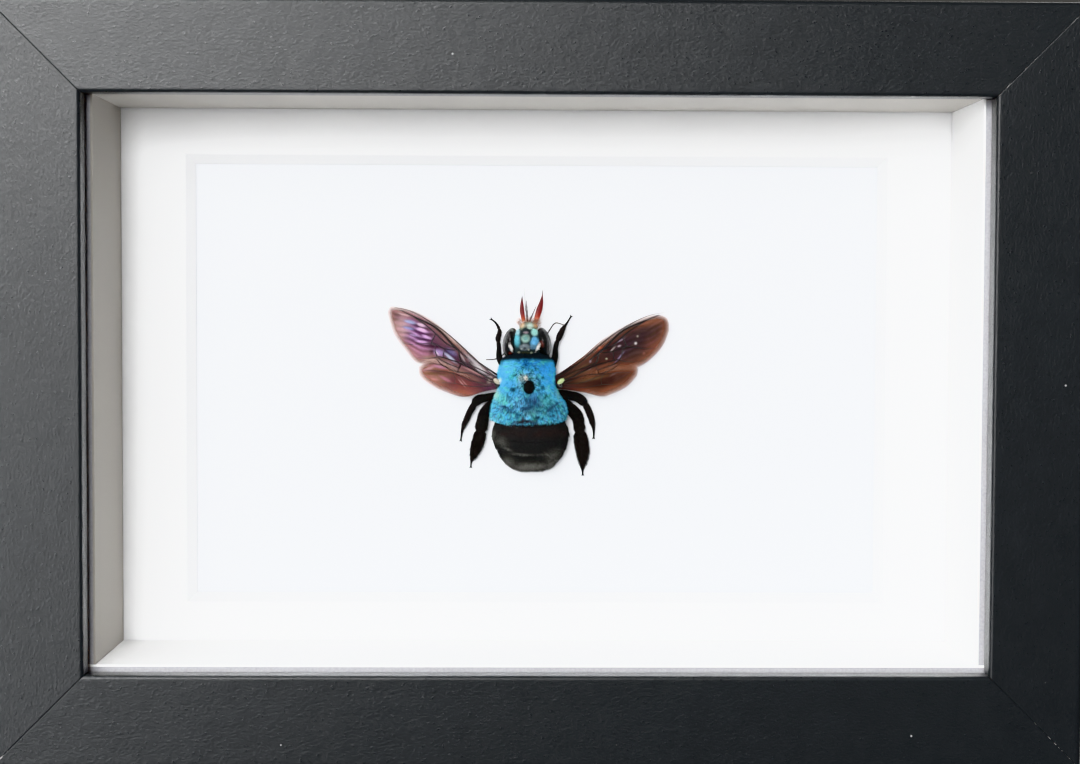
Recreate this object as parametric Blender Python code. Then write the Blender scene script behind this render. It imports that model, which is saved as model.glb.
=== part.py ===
"""Framed carpenter bee: a black mitred shadow-box frame, glazed, with white
spacer walls, a bevelled window mat, a backing card and a dried blue carpenter
bee fixed in the middle of the card.

Lengths are metres. x runs to the right and z up, y from the glazed face
(negative) to the back (positive). The origin is under the middle of the frame,
which stands on its bottom bar.
"""
import math

import bmesh
import bpy
from mathutils import Matrix, Vector

MM = 0.001
GAP = 0.3 * MM                      # clearance between pieces that touch

# Frame
FRAME_WIDTH = 174 * MM
FRAME_HEIGHT = 122 * MM
FRAME_DEPTH = 36 * MM
BAR_FACE = 15 * MM                  # width of the bar seen from the front
LIP_THICKNESS = 3.2 * MM            # front lip that holds the glass in
LIP_OVERLAP = 4.5 * MM              # how far the lip reaches over the glass
OUTER_ARRIS = 0.9 * MM
INNER_ARRIS = 0.6 * MM

# Layers behind the lip, from front to back
GLASS_THICKNESS = 2.0 * MM
SPACER_THICKNESS = 5.0 * MM
SPACER_DEPTH = 21.6 * MM
MAT_THICKNESS = 1.5 * MM
MAT_WINDOW_WIDTH = 120.5 * MM       # on the mat's front face
MAT_WINDOW_HEIGHT = 77.0 * MM
CARD_THICKNESS = 1.0 * MM
PANEL_THICKNESS = 2.5 * MM

# Fittings on the back
TAB_THICKNESS = 0.5 * MM
TAB_WIDTH = 6.0 * MM
TAB_ROOT = 3.4 * MM                 # length pressed into the bar
TAB_REACH = 9.0 * MM                # length over the panel
SLOT_DEPTH = 4.0 * MM
TAB_SPACING = 80 * MM               # between the two tabs of a long bar
HANGER_WIDTH = 40 * MM
HANGER_HEIGHT = 9 * MM
HANGER_THICKNESS = 0.6 * MM
HANGER_BELOW_TOP = 28 * MM
HANGER_TEETH = 9
TOOTH_PITCH = 2.6 * MM
TOOTH_DEPTH = 1.4 * MM
RIVET_SPACING = 33 * MM
RIVET_SHANK = 1.2 * MM              # radii
RIVET_HOLE = 1.5 * MM
RIVET_HEAD = 2.4 * MM
RIVET_HEAD_HEIGHT = 0.7 * MM

# The bee's own origin: the middle of its thorax, on the card's front face
BEE_ACROSS = -1.5 * MM
BEE_UP = 60.5 * MM
WING_THICKNESS = 0.25 * MM

FRONT = -FRAME_DEPTH / 2
LIP_BACK = FRONT + LIP_THICKNESS
GLASS_FRONT = LIP_BACK + GAP
SPACER_FRONT = GLASS_FRONT + GLASS_THICKNESS + GAP
MAT_FRONT = SPACER_FRONT + SPACER_DEPTH + GAP
CARD_FRONT = MAT_FRONT + MAT_THICKNESS + GAP
PANEL_FRONT = CARD_FRONT + CARD_THICKNESS + GAP
FITTING_FRONT = PANEL_FRONT + PANEL_THICKNESS + GAP

WALL = BAR_FACE - LIP_OVERLAP       # bar thickness behind the lip
SHEET_WIDTH = FRAME_WIDTH - 2 * (WALL + GAP)
SHEET_HEIGHT = FRAME_HEIGHT - 2 * (WALL + GAP)
MID_HEIGHT = FRAME_HEIGHT / 2


def clear_scene():
    for obj in list(bpy.data.objects):
        bpy.data.objects.remove(obj, do_unlink=True)


def make_material(name, color, roughness, metallic=0.0, transmission=0.0):
    material = bpy.data.materials.new(name)
    material.use_nodes = True
    shader = material.node_tree.nodes["Principled BSDF"]
    shader.inputs["Base Color"].default_value = (*color, 1.0)
    shader.inputs["Roughness"].default_value = roughness
    shader.inputs["Metallic"].default_value = metallic
    shader.inputs["Transmission Weight"].default_value = transmission
    material.diffuse_color = (*color, 1.0)
    return material


def add_object(name, bm, material=None, smooth=False):
    """Turn a bmesh into a named object with its faces pointing outwards."""
    bmesh.ops.recalc_face_normals(bm, faces=bm.faces)
    mesh = bpy.data.meshes.new(name)
    bm.to_mesh(mesh)
    bm.free()
    if smooth:
        mesh.shade_smooth()
        mesh.set_sharp_from_angle(angle=math.radians(40))
    obj = bpy.data.objects.new(name, mesh)
    if material:
        mesh.materials.append(material)
    bpy.context.scene.collection.objects.link(obj)
    return obj


def hide_cutter(obj):
    obj.hide_render = True
    obj.display_type = "WIRE"


def cut(obj, cutter):
    hide_cutter(cutter)
    modifier = obj.modifiers.new(cutter.name, "BOOLEAN")
    modifier.operation = "DIFFERENCE"
    modifier.object = cutter


def add_box(name, size, location, material=None):
    """A box with its centre at the location."""
    bm = bmesh.new()
    bmesh.ops.create_cube(bm, size=1.0, matrix=Matrix.Diagonal((*size, 1.0)))
    obj = add_object(name, bm, material)
    obj.location = location
    return obj


def add_sheet(name, width, height, front, thickness, material):
    """A flat sheet upright in the frame's rebate."""
    size = (width, thickness, height)
    return add_box(name, size, (0, front + thickness / 2, MID_HEIGHT), material)


def add_rod(name, radius, length, location, material=None, sides=16):
    """A round rod along y with its centre at the location."""
    bm = bmesh.new()
    turn = Matrix.Rotation(math.pi / 2, 4, "X")
    bmesh.ops.create_cone(bm, cap_ends=True, segments=sides, radius1=radius, radius2=radius,
                          depth=length, matrix=turn)
    obj = add_object(name, bm, material, smooth=True)
    obj.location = location
    return obj


def extrude_outline(name, points, thickness, material, smooth=False):
    """A plate: an outline in x and z, given its thickness towards +y."""
    bm = bmesh.new()
    face = bm.faces.new([bm.verts.new(point) for point in points])
    extruded = bmesh.ops.extrude_face_region(bm, geom=[face])
    moved = [item for item in extruded["geom"] if isinstance(item, bmesh.types.BMVert)]
    bmesh.ops.translate(bm, verts=moved, vec=(0, thickness, 0))
    return add_object(name, bm, material, smooth)


# Frame bars

def arc(center, radius, start, end, steps=4):
    """Points of an arc, angles in degrees, as (depth, inward) pairs."""
    points = []
    for step in range(steps + 1):
        angle = math.radians(start + (end - start) * step / steps)
        points.append((center[0] + radius * math.cos(angle), center[1] + radius * math.sin(angle)))
    return points


def bar_profile():
    """The bar's section: depth from the face, and distance inward from the outer side."""
    outer = arc((OUTER_ARRIS, OUTER_ARRIS), OUTER_ARRIS, 270, 180)
    inner = arc((INNER_ARRIS, BAR_FACE - INNER_ARRIS), INNER_ARRIS, 180, 90)
    rebate = [(LIP_THICKNESS, BAR_FACE), (LIP_THICKNESS, WALL), (FRAME_DEPTH, WALL), (FRAME_DEPTH, 0)]
    return outer + inner + rebate


def add_bar(name, length, location, turn, tab_places, material):
    """A bar with mitred ends, made lying along x and turned about y into its place."""
    half_gap = GAP / 2 * math.sqrt(2)
    bm = bmesh.new()
    rings = []
    for side in (-1, 1):
        ring = []
        for depth, inward in bar_profile():
            along = side * (length / 2 - inward - half_gap)
            ring.append(bm.verts.new((along, FRONT + depth, inward)))
        rings.append(ring)
        bm.faces.new(ring)
    count = len(rings[0])
    for i in range(count):
        j = (i + 1) % count
        bm.faces.new((rings[0][i], rings[0][j], rings[1][j], rings[1][i]))
    bar = add_object(name, bm, material, smooth=True)
    bar.location = location
    bar.rotation_euler = (0, turn, 0)
    for number, place in enumerate(tab_places, 1):
        size = (TAB_WIDTH + 2 * GAP, TAB_THICKNESS + 2 * GAP, 2 * SLOT_DEPTH)
        slot = add_box(f"{name}_slot_{number}", size, (place, FITTING_FRONT + TAB_THICKNESS / 2, WALL))
        slot.parent = bar
        cut(bar, slot)
    return bar


def tab_outline():
    """A tab: a square root in the bar, and a round end over the panel."""
    half = TAB_WIDTH / 2
    tip = TAB_REACH - half
    points = [(-half, 0, -TAB_ROOT), (half, 0, -TAB_ROOT)]
    for step in range(9):
        angle = math.pi * step / 8
        points.append((half * math.cos(angle), 0, tip + half * math.sin(angle)))
    return points


def add_tab(name, bar, place, material):
    """A flat bendable tab, which leaves its bar across the rebate's wall."""
    tab = extrude_outline(name, tab_outline(), TAB_THICKNESS, material, smooth=True)
    tab.parent = bar
    tab.location = (place, FITTING_FRONT, WALL)
    return tab


def build_frame(foil, steel):
    spread = (-TAB_SPACING / 2, TAB_SPACING / 2)
    sides = {
        "bottom": (FRAME_WIDTH, (0, 0, 0), 0, spread),
        "top": (FRAME_WIDTH, (0, 0, FRAME_HEIGHT), math.pi, spread),
        "left": (FRAME_HEIGHT, (-FRAME_WIDTH / 2, 0, MID_HEIGHT), math.pi / 2, (0,)),
        "right": (FRAME_HEIGHT, (FRAME_WIDTH / 2, 0, MID_HEIGHT), -math.pi / 2, (0,)),
    }
    for side, (length, location, turn, places) in sides.items():
        bar = add_bar(f"frame_bar_{side}", length, location, turn, places, foil)
        for number, place in enumerate(places, 1):
            add_tab(f"panel_tab_{side}_{number}", bar, place, steel)


# Layers in the rebate

def build_spacers(board):
    middle = SPACER_FRONT + SPACER_DEPTH / 2
    inset = SPACER_THICKNESS / 2
    for side, sign in (("bottom", -1), ("top", 1)):
        up = MID_HEIGHT + sign * (SHEET_HEIGHT / 2 - inset)
        add_box(f"spacer_{side}", (SHEET_WIDTH, SPACER_DEPTH, SPACER_THICKNESS), (0, middle, up), board)
    height = SHEET_HEIGHT - 2 * (SPACER_THICKNESS + GAP)
    for side, sign in (("left", -1), ("right", 1)):
        across = sign * (SHEET_WIDTH / 2 - inset)
        size = (SPACER_THICKNESS, SPACER_DEPTH, height)
        add_box(f"spacer_{side}", size, (across, middle, MID_HEIGHT), board)


def build_mat(board):
    """A sheet with a window whose edge slopes inward to the back at 45 degrees."""
    back = MAT_FRONT + MAT_THICKNESS
    slope = 2 * MAT_THICKNESS
    loops = [
        (SHEET_WIDTH, SHEET_HEIGHT, MAT_FRONT),
        (MAT_WINDOW_WIDTH, MAT_WINDOW_HEIGHT, MAT_FRONT),
        (MAT_WINDOW_WIDTH - slope, MAT_WINDOW_HEIGHT - slope, back),
        (SHEET_WIDTH, SHEET_HEIGHT, back),
    ]
    corners = ((-1, -1), (1, -1), (1, 1), (-1, 1))
    bm = bmesh.new()
    rings = []
    for width, height, depth in loops:
        ring = [bm.verts.new((x * width / 2, depth, MID_HEIGHT + z * height / 2)) for x, z in corners]
        rings.append(ring)
    for here, there in zip(rings, rings[1:] + rings[:1]):
        for i in range(4):
            j = (i + 1) % 4
            bm.faces.new((here[i], here[j], there[j], there[i]))
    add_object("window_mat", bm, board)


def build_panel(hardboard, steel):
    """The back panel, with a toothed hanger held by two rivets."""
    panel = add_sheet("back_panel", SHEET_WIDTH, SHEET_HEIGHT, PANEL_FRONT, PANEL_THICKNESS, hardboard)
    hanger_up = FRAME_HEIGHT - HANGER_BELOW_TOP
    hanger = extrude_outline("hanger_plate", hanger_outline(), HANGER_THICKNESS, steel)
    hanger.location = (0, FITTING_FRONT, hanger_up)
    rivet_up = hanger_up + HANGER_HEIGHT / 2
    for side, sign in (("left", -1), ("right", 1)):
        across = sign * RIVET_SPACING / 2
        hole_middle = (across, FITTING_FRONT, rivet_up)
        cut(panel, add_rod(f"panel_hole_{side}", RIVET_HOLE, 4 * PANEL_THICKNESS, hole_middle))
        cut(hanger, add_rod(f"hanger_hole_{side}", RIVET_HOLE, 4 * PANEL_THICKNESS, hole_middle))
        add_rivet(f"hanger_rivet_{side}", across, rivet_up, steel)


def hanger_outline():
    """A strip with a straight top, clipped corners and a row of teeth below."""
    half = HANGER_WIDTH / 2
    chamfer = 2 * MM
    row = HANGER_TEETH * TOOTH_PITCH
    points = [(-half, 0, chamfer), (-half + chamfer, 0, 0)]
    for tooth in range(HANGER_TEETH):
        left = -row / 2 + tooth * TOOTH_PITCH
        points.append((left, 0, 0))
        points.append((left + TOOTH_PITCH / 2, 0, TOOTH_DEPTH))
    points += [(row / 2, 0, 0), (half - chamfer, 0, 0), (half, 0, chamfer)]
    top = HANGER_HEIGHT
    points += [(half, 0, top - chamfer), (half - chamfer, 0, top), (-half + chamfer, 0, top),
               (-half, 0, top - chamfer)]
    return points


def add_rivet(name, across, up, material, sides=16):
    """A rivet turned about its own axis: a domed head on a shank that ends in the panel."""
    head_back = HANGER_THICKNESS + GAP
    shank_front = -PANEL_THICKNESS
    head_top = head_back + RIVET_HEAD_HEIGHT
    profile = [
        (0, shank_front), (RIVET_SHANK, shank_front), (RIVET_SHANK, head_back), (RIVET_HEAD, head_back),
        (RIVET_HEAD * 0.9, head_back + RIVET_HEAD_HEIGHT * 0.6), (RIVET_HEAD * 0.5, head_top), (0, head_top),
    ]
    bm = bmesh.new()
    edges = []
    verts = [bm.verts.new((radius, along, 0)) for radius, along in profile]
    for first, second in zip(verts, verts[1:]):
        edges.append(bm.edges.new((first, second)))
    bmesh.ops.spin(bm, geom=verts + edges, axis=(0, 1, 0), cent=(0, 0, 0), angle=2 * math.pi, steps=sides)
    bmesh.ops.remove_doubles(bm, verts=bm.verts, dist=0.01 * MM)
    obj = add_object(name, bm, material, smooth=True)
    obj.location = (across, FITTING_FRONT, up)


# The bee. Its points are (across, up, rise) in millimetres from its own origin,
# with the rise measured from the card towards the glass.

def bee_point(across, up, rise):
    return Vector((BEE_ACROSS + across * MM, CARD_FRONT - rise * MM, BEE_UP + up * MM))


def smooth_rows(rows, steps):
    """Rows read from a smooth curve (Catmull-Rom) through the given rows of numbers."""
    result = []
    for i in range(len(rows) - 1):
        before = rows[max(i - 1, 0)]
        after = rows[min(i + 2, len(rows) - 1)]
        for step in range(steps):
            t = step / steps
            row = []
            for a, b, c, d in zip(before, rows[i], rows[i + 1], after):
                row.append(0.5 * (2 * b + (c - a) * t + (2 * a - 5 * b + 4 * c - d) * t * t
                                  + (3 * b - a - 3 * c + d) * t ** 3))
            result.append(row)
    result.append(list(rows[-1]))
    return result


def bridge_rings(bm, rings):
    """Join rings of equal count, and close both ends with a flat face."""
    count = len(rings[0])
    for here, there in zip(rings, rings[1:]):
        for i in range(count):
            j = (i + 1) % count
            bm.faces.new((here[i], here[j], there[j], there[i]))
    bm.faces.new(rings[0])
    bm.faces.new(rings[-1])


def loft_body(name, stations, sides=24):
    """A body of upright rings: (up, across, half width, rise, half thickness)."""
    bm = bmesh.new()
    rings = []
    for up, across, half_width, rise, half_thickness in smooth_rows(stations, 2):
        ring = []
        for i in range(sides):
            angle = 2 * math.pi * i / sides
            sideways = across + half_width * math.cos(angle)
            ring.append(bm.verts.new(bee_point(sideways, up, rise + half_thickness * math.sin(angle))))
        rings.append(ring)
    bridge_rings(bm, rings)
    return add_object(name, bm)


def limb(name, stations, flatness=1.0, sides=8, steps=2):
    """A tapered limb along (across, up, rise, half width), flattened towards the card."""
    rows = smooth_rows(stations, steps)
    points = [bee_point(*row[:3]) for row in rows]
    bm = bmesh.new()
    rings = []
    for i, row in enumerate(rows):
        along = (points[min(i + 1, len(points) - 1)] - points[max(i - 1, 0)]).normalized()
        side = along.cross(Vector((0, 1, 0))).normalized()
        out = side.cross(along)
        ring = []
        for k in range(sides):
            angle = 2 * math.pi * k / sides
            offset = side * math.cos(angle) + out * (flatness * math.sin(angle))
            ring.append(bm.verts.new(points[i] + offset * (row[3] * MM)))
        rings.append(ring)
    bridge_rings(bm, rings)
    return add_object(name, bm)


def lump(name, center, radii, tilt=0.0, segments=20, rows=12):
    """An ellipsoid with radii (across, rise, up), tilted in the plane of the card by degrees."""
    bm = bmesh.new()
    place = Matrix.Translation(bee_point(*center))
    turn = Matrix.Rotation(math.radians(tilt), 4, "Y")
    size = Matrix.Diagonal((radii[0] * MM, radii[1] * MM, radii[2] * MM, 1))
    bmesh.ops.create_uvsphere(bm, u_segments=segments, v_segments=rows, radius=1.0,
                              matrix=place @ turn @ size)
    return add_object(name, bm)


def wing(name, outline, base_rise, droop):
    """A flat wing whose rise falls in proportion to the distance from the body's middle."""
    bm = bmesh.new()
    closed = smooth_rows(outline + outline[:1], 2)[:-1]
    verts = []
    for across, up in closed:
        verts.append(bm.verts.new(bee_point(across, up, base_rise - droop * abs(across))))
    face = bm.faces.new(verts)
    extruded = bmesh.ops.extrude_face_region(bm, geom=[face])
    moved = [item for item in extruded["geom"] if isinstance(item, bmesh.types.BMVert)]
    bmesh.ops.translate(bm, verts=moved, vec=(0, WING_THICKNESS, 0))
    return add_object(name, bm)


def build_trunk():
    """The hairy thorax with the first abdominal ring, and the rest of the abdomen."""
    thorax = loft_body("carpenter_bee", [
        (5.2, -0.2, 1.6, 4.4, 1.4),
        (4.5, -0.2, 4.0, 4.6, 3.5),
        (3.2, -0.25, 4.75, 4.9, 4.3),
        (1.5, -0.3, 5.0, 5.1, 4.7),
        (0.0, -0.2, 4.95, 5.1, 4.75),
        (-1.5, -0.1, 5.4, 4.9, 4.5),
        (-3.5, 0.1, 6.3, 4.6, 4.2),
        (-5.2, 0.1, 6.7, 4.4, 3.95),
        (-6.4, 0.1, 6.4, 4.2, 3.7),
        (-7.1, 0.1, 5.4, 4.1, 3.2),
    ])
    abdomen = loft_body("abdomen", [
        (-5.0, 0.2, 5.6, 4.1, 3.0),
        (-7.0, 0.4, 6.5, 4.1, 3.55),
        (-9.0, 0.45, 6.7, 4.05, 3.6),
        (-11.2, 0.5, 6.05, 3.9, 3.3),
        (-12.9, 0.5, 5.0, 3.7, 2.8),
        (-14.1, 0.55, 3.6, 3.5, 2.1),
        (-14.8, 0.6, 1.9, 3.4, 1.2),
        (-15.05, 0.6, 0.6, 3.4, 0.5),
    ])
    return thorax, [abdomen]


def build_head():
    """The head with its large side eyes, antennae and spread mouthparts."""
    return [
        lump("head", (-0.1, 7.0, 4.0), (3.9, 3.0, 2.6), segments=24, rows=16),
        lump("eye_left", (-3.3, 6.9, 3.9), (1.05, 2.5, 2.45), tilt=14),
        lump("eye_right", (2.95, 6.9, 3.9), (1.05, 2.5, 2.45), tilt=-14),
        lump("mouth", (0.05, 9.9, 3.2), (1.5, 1.1, 1.2), segments=16, rows=10),
        limb("blade_left", [(-0.75, 10.2, 3.2, 0.3), (-1.1, 11.7, 3.0, 0.36), (-1.1, 13.5, 2.6, 0.28),
                            (-1.05, 15.2, 2.3, 0.06)], flatness=0.5),
        limb("blade_right", [(0.95, 10.0, 3.2, 0.34), (1.5, 11.4, 3.0, 0.44), (1.95, 13.0, 2.6, 0.42),
                             (2.3, 14.6, 2.3, 0.24), (2.4, 16.1, 2.1, 0.05)], flatness=0.5),
        limb("palp_left", [(-0.1, 10.3, 3.2, 0.17), (-0.1, 12.3, 2.9, 0.2), (-0.3, 14.2, 2.6, 0.08)],
             sides=6),
        limb("palp_right", [(0.1, 10.3, 3.2, 0.17), (0.6, 11.7, 3.0, 0.15), (1.45, 13.4, 2.7, 0.07)],
             sides=6),
        limb("tongue", [(-0.5, 10.4, 2.9, 0.14), (-0.6, 13.5, 2.4, 0.12), (-0.7, 16.5, 2.1, 0.04)],
             sides=6),
        limb("antenna_right", [(2.6, 7.6, 5.0, 0.18), (3.7, 9.3, 4.6, 0.16), (4.3, 10.15, 4.2, 0.16),
                               (4.9, 10.4, 3.8, 0.16), (6.1, 10.05, 3.2, 0.14)], sides=6),
        limb("antenna_left", [(-3.0, 6.4, 2.2, 0.18), (-4.3, 4.9, 1.7, 0.16), (-5.6, 4.15, 1.8, 0.16),
                              (-7.3, 4.0, 1.9, 0.14)], sides=6),
    ]


def build_legs():
    return [
        limb("fore_leg_left", [(-3.6, 2.2, 3.2, 0.75), (-4.9, 4.2, 2.6, 0.6), (-5.05, 6.2, 2.2, 0.4),
                               (-5.2, 7.7, 2.0, 0.48), (-4.95, 9.1, 1.7, 0.34), (-5.5, 10.5, 1.3, 0.16),
                               (-6.4, 11.2, 1.0, 0.12)]),
        limb("fore_leg_right", [(3.8, 2.2, 3.2, 0.75), (4.55, 4.4, 2.6, 0.6), (4.65, 6.4, 2.2, 0.42),
                                (5.25, 8.2, 2.0, 0.56), (5.9, 9.6, 1.7, 0.42), (6.6, 10.5, 1.3, 0.18),
                                (7.35, 11.6, 1.0, 0.12)]),
        limb("mid_leg_left", [(-4.4, -2.0, 3.2, 0.7), (-7.2, -2.5, 2.8, 0.78), (-8.5, -2.8, 2.5, 0.8),
                              (-9.6, -4.1, 2.0, 0.74), (-10.5, -5.9, 1.6, 0.62), (-11.2, -7.4, 1.2, 0.4),
                              (-11.4, -8.3, 1.0, 0.2), (-11.6, -9.6, 0.8, 0.13)], flatness=0.7),
        limb("mid_leg_right", [(4.6, -1.6, 3.2, 0.7), (8.0, -2.4, 2.8, 0.82), (9.3, -3.6, 2.4, 0.78),
                               (10.2, -5.1, 1.9, 0.7), (10.75, -6.5, 1.4, 0.5), (11.0, -7.6, 1.0, 0.2),
                               (11.05, -9.0, 0.8, 0.13)], flatness=0.7),
        limb("hind_leg_left", [(-4.8, -2.4, 3.0, 0.8), (-7.3, -4.7, 2.5, 0.95), (-7.9, -6.5, 2.3, 1.1),
                               (-8.2, -8.6, 2.1, 1.4), (-8.8, -10.7, 1.8, 1.2), (-9.3, -12.1, 1.4, 0.6),
                               (-9.7, -13.1, 1.0, 0.24), (-9.8, -14.1, 0.8, 0.13)], flatness=0.55),
        limb("hind_leg_right", [(5.0, -2.4, 3.0, 0.8), (8.0, -5.2, 2.5, 0.98), (8.4, -6.9, 2.3, 1.1),
                                (8.7, -8.9, 2.1, 1.4), (9.0, -11.3, 1.8, 1.35), (9.15, -13.2, 1.4, 0.7),
                                (9.2, -14.6, 1.0, 0.24), (9.3, -15.7, 0.8, 0.13)], flatness=0.55),
    ]


def build_wings():
    """Two fore wings, and two hind wings just below them, (across, up) from the bee's origin."""
    fore_rise, hind_rise, droop = 7.0, 6.85, 0.21
    fore_left = [(-3.6, 1.0), (-5.9, 1.6), (-9.3, 4.6), (-12.7, 7.6), (-15.7, 10.3), (-19.5, 12.4),
                 (-23.4, 13.2), (-24.4, 12.0), (-23.2, 8.5), (-21.3, 5.8), (-19.0, 3.3), (-16.0, 3.6),
                 (-12.7, 2.0), (-9.2, 0.6), (-5.8, -0.2), (-3.6, -0.2)]
    fore_right = [(3.6, 0.9), (6.2, 2.5), (9.5, 4.9), (13.0, 7.9), (17.4, 10.5), (21.8, 12.0),
                  (24.0, 11.3), (24.4, 9.2), (23.1, 6.3), (20.4, 3.6), (17.6, 2.4), (14.3, 2.4),
                  (10.5, 1.2), (5.4, -0.2), (3.6, -0.2)]
    hind_left = [(-3.6, 0.4), (-9.2, 1.3), (-12.7, 2.7), (-16.5, 4.0), (-18.9, 2.8), (-18.6, 1.1),
                 (-16.0, -0.8), (-12.8, -2.0), (-10.4, -2.3), (-7.4, -1.3), (-3.6, -0.6)]
    hind_right = [(3.6, 0.4), (8.8, 1.4), (14.3, 3.0), (18.6, 3.0), (18.8, 1.4), (17.0, -0.5),
                  (14.3, -1.8), (12.4, -2.2), (9.3, -1.4), (3.6, -0.6)]
    return [
        wing("fore_wing_left", fore_left, fore_rise, droop),
        wing("fore_wing_right", fore_right, fore_rise, droop),
        wing("hind_wing_left", hind_left, hind_rise, droop),
        wing("hind_wing_right", hind_right, hind_rise, droop),
    ]


def build_bee(material):
    """Everything that grew as one is fused to the thorax by a union."""
    thorax, parts = build_trunk()
    parts += build_head() + build_legs() + build_wings()
    for part in parts:
        hide_cutter(part)
        union = thorax.modifiers.new(part.name, "BOOLEAN")
        union.operation = "UNION"
        union.object = part
    thorax.data.materials.append(material)
    thorax.data.shade_smooth()


def main():
    clear_scene()
    foil = make_material("black_foil", (0.018, 0.018, 0.019), 0.38)
    steel = make_material("tab_steel", (0.62, 0.62, 0.60), 0.35, metallic=1.0)
    clear = make_material("clear_glass", (1.0, 1.0, 1.0), 0.02, transmission=1.0)
    foam_board = make_material("white_foam_board", (0.86, 0.86, 0.85), 0.65)
    mat_board = make_material("white_mat_board", (0.90, 0.90, 0.89), 0.75)
    card = make_material("backing_card", (0.86, 0.89, 0.93), 0.8)
    hardboard = make_material("brown_hardboard", (0.21, 0.12, 0.06), 0.7)
    bee_blue = make_material("bee_blue_and_black", (0.05, 0.28, 0.55), 0.6)
    build_frame(foil, steel)
    add_sheet("glass_pane", SHEET_WIDTH, SHEET_HEIGHT, GLASS_FRONT, GLASS_THICKNESS, clear)
    build_spacers(foam_board)
    build_mat(mat_board)
    add_sheet("backing_card", SHEET_WIDTH, SHEET_HEIGHT, CARD_FRONT, CARD_THICKNESS, card)
    build_panel(hardboard, steel)
    build_bee(bee_blue)


main()
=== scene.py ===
import math

import bmesh
import bpy
import numpy as np
from mathutils import Matrix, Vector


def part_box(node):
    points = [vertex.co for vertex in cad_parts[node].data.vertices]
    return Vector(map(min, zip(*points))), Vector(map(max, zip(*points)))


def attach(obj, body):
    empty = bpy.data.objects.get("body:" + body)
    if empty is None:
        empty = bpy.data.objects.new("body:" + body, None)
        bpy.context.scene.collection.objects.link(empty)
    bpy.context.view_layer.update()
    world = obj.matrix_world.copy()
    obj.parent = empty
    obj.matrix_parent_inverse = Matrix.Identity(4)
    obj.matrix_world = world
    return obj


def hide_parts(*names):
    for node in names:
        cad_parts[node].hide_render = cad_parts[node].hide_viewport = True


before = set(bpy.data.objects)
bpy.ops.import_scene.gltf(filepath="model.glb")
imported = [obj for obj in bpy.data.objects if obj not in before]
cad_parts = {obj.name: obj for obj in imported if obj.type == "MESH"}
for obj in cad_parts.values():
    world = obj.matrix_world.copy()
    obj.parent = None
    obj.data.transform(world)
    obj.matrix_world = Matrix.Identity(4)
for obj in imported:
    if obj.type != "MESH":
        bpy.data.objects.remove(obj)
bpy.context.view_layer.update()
mm = 0.001
lightStrength = 1.5                 # how bright the studio makes a white surface
print("frame loaded")


# Node and mesh helpers

def tone(red, green, blue):
    # a colour as it is to look, from 0 to 255, as the colour that a shader takes: made linear, then
    # the view's dark toe undone by adding its offset, then divided by the light's strength
    share = np.array([red, green, blue]) / 255
    linear = np.where(share < 0.04045, share / 12.92, ((share + 0.055) / 1.055) ** 2.4)
    low = linear.min()
    offset = 0.04 if low > 0.04 else math.sqrt(low / 6.25) - low
    return tuple(((linear + offset) / lightStrength).tolist())


def mixed(first, second, share):
    # first * (1 - share) + second * share
    return np.asarray(first) * (1 - share) + np.asarray(second) * share


def turned(x, y, degrees):
    # a place turned about the origin: x * cos + y * sin, and y * cos - x * sin
    turn = math.radians(degrees)
    return x * math.cos(turn) + y * math.sin(turn), y * math.cos(turn) - x * math.sin(turn)


def startMaterial(name, values):
    # a Principled material, its plain values set on the shader's own sockets
    material = bpy.data.materials.new(name)
    material.use_nodes = True
    shader = material.node_tree.nodes["Principled BSDF"]
    for socket, value in values.items():
        shader.inputs[socket].default_value = (*value, 1) if isinstance(value, tuple) else value
    return material, material.node_tree, shader


def addNode(tree, kind, settings=None, values=None, links=None):
    # a shader node with its settings, the plain values of its sockets, and what is linked into them
    node = tree.nodes.new("ShaderNode" + kind)
    for key, value in (settings or {}).items():
        setattr(node, key, value)
    for socket, value in (values or {}).items():
        node.inputs[socket].default_value = value
    for socket, output in (links or {}).items():
        tree.links.new(output, node.inputs[socket])
    return node


def objectPlace(tree, stretch=None):
    # the Object coordinates, in metres, stretched along the axes if asked
    place = addNode(tree, "TexCoord").outputs["Object"]
    if stretch is None:
        return place
    return addNode(tree, "Mapping", values={"Scale": stretch}, links={"Vector": place}).outputs["Vector"]


def addNoise(tree, place, scale, detail=3.0, roughness=0.55, distortion=0.0):
    # a noise with that many swings to the metre
    values = {"Scale": scale, "Detail": detail, "Roughness": roughness, "Distortion": distortion}
    return addNode(tree, "TexNoise", values=values, links={"Vector": place}).outputs["Fac"]


def addSum(tree, first, second):
    # first + second
    return addNode(tree, "Math", {"operation": "ADD"}, links={0: first, 1: second}).outputs[0]


def addRange(tree, source, low, high, toLow=0.0, toHigh=1.0):
    # source from low to high read as toLow to toHigh, smoothly and clamped
    values = {"From Min": low, "From Max": high, "To Min": toLow, "To Max": toHigh}
    node = addNode(tree, "MapRange", {"interpolation_type": "SMOOTHSTEP"}, values, {"Value": source})
    return node.outputs["Result"]


def addMix(tree, factor, first, second):
    # a blend of two colours, each a plain one or a socket, by a factor
    node = addNode(tree, "Mix", {"data_type": "RGBA"})
    for index, value in ((0, factor), (6, first), (7, second)):
        if isinstance(value, tuple):
            node.inputs[index].default_value = (*value, 1)
        else:
            tree.links.new(value, node.inputs[index])
    return node.outputs[2]


def addBump(tree, shader, height, distance, strength=1.0):
    # a bump of that distance in metres; a second one is laid over the first
    node = addNode(tree, "Bump", values={"Distance": distance, "Strength": strength},
                   links={"Height": height})
    before = shader.inputs["Normal"].links
    if before:
        tree.links.new(before[0].from_socket, node.inputs["Normal"])
    tree.links.new(node.outputs["Normal"], shader.inputs["Normal"])


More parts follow.
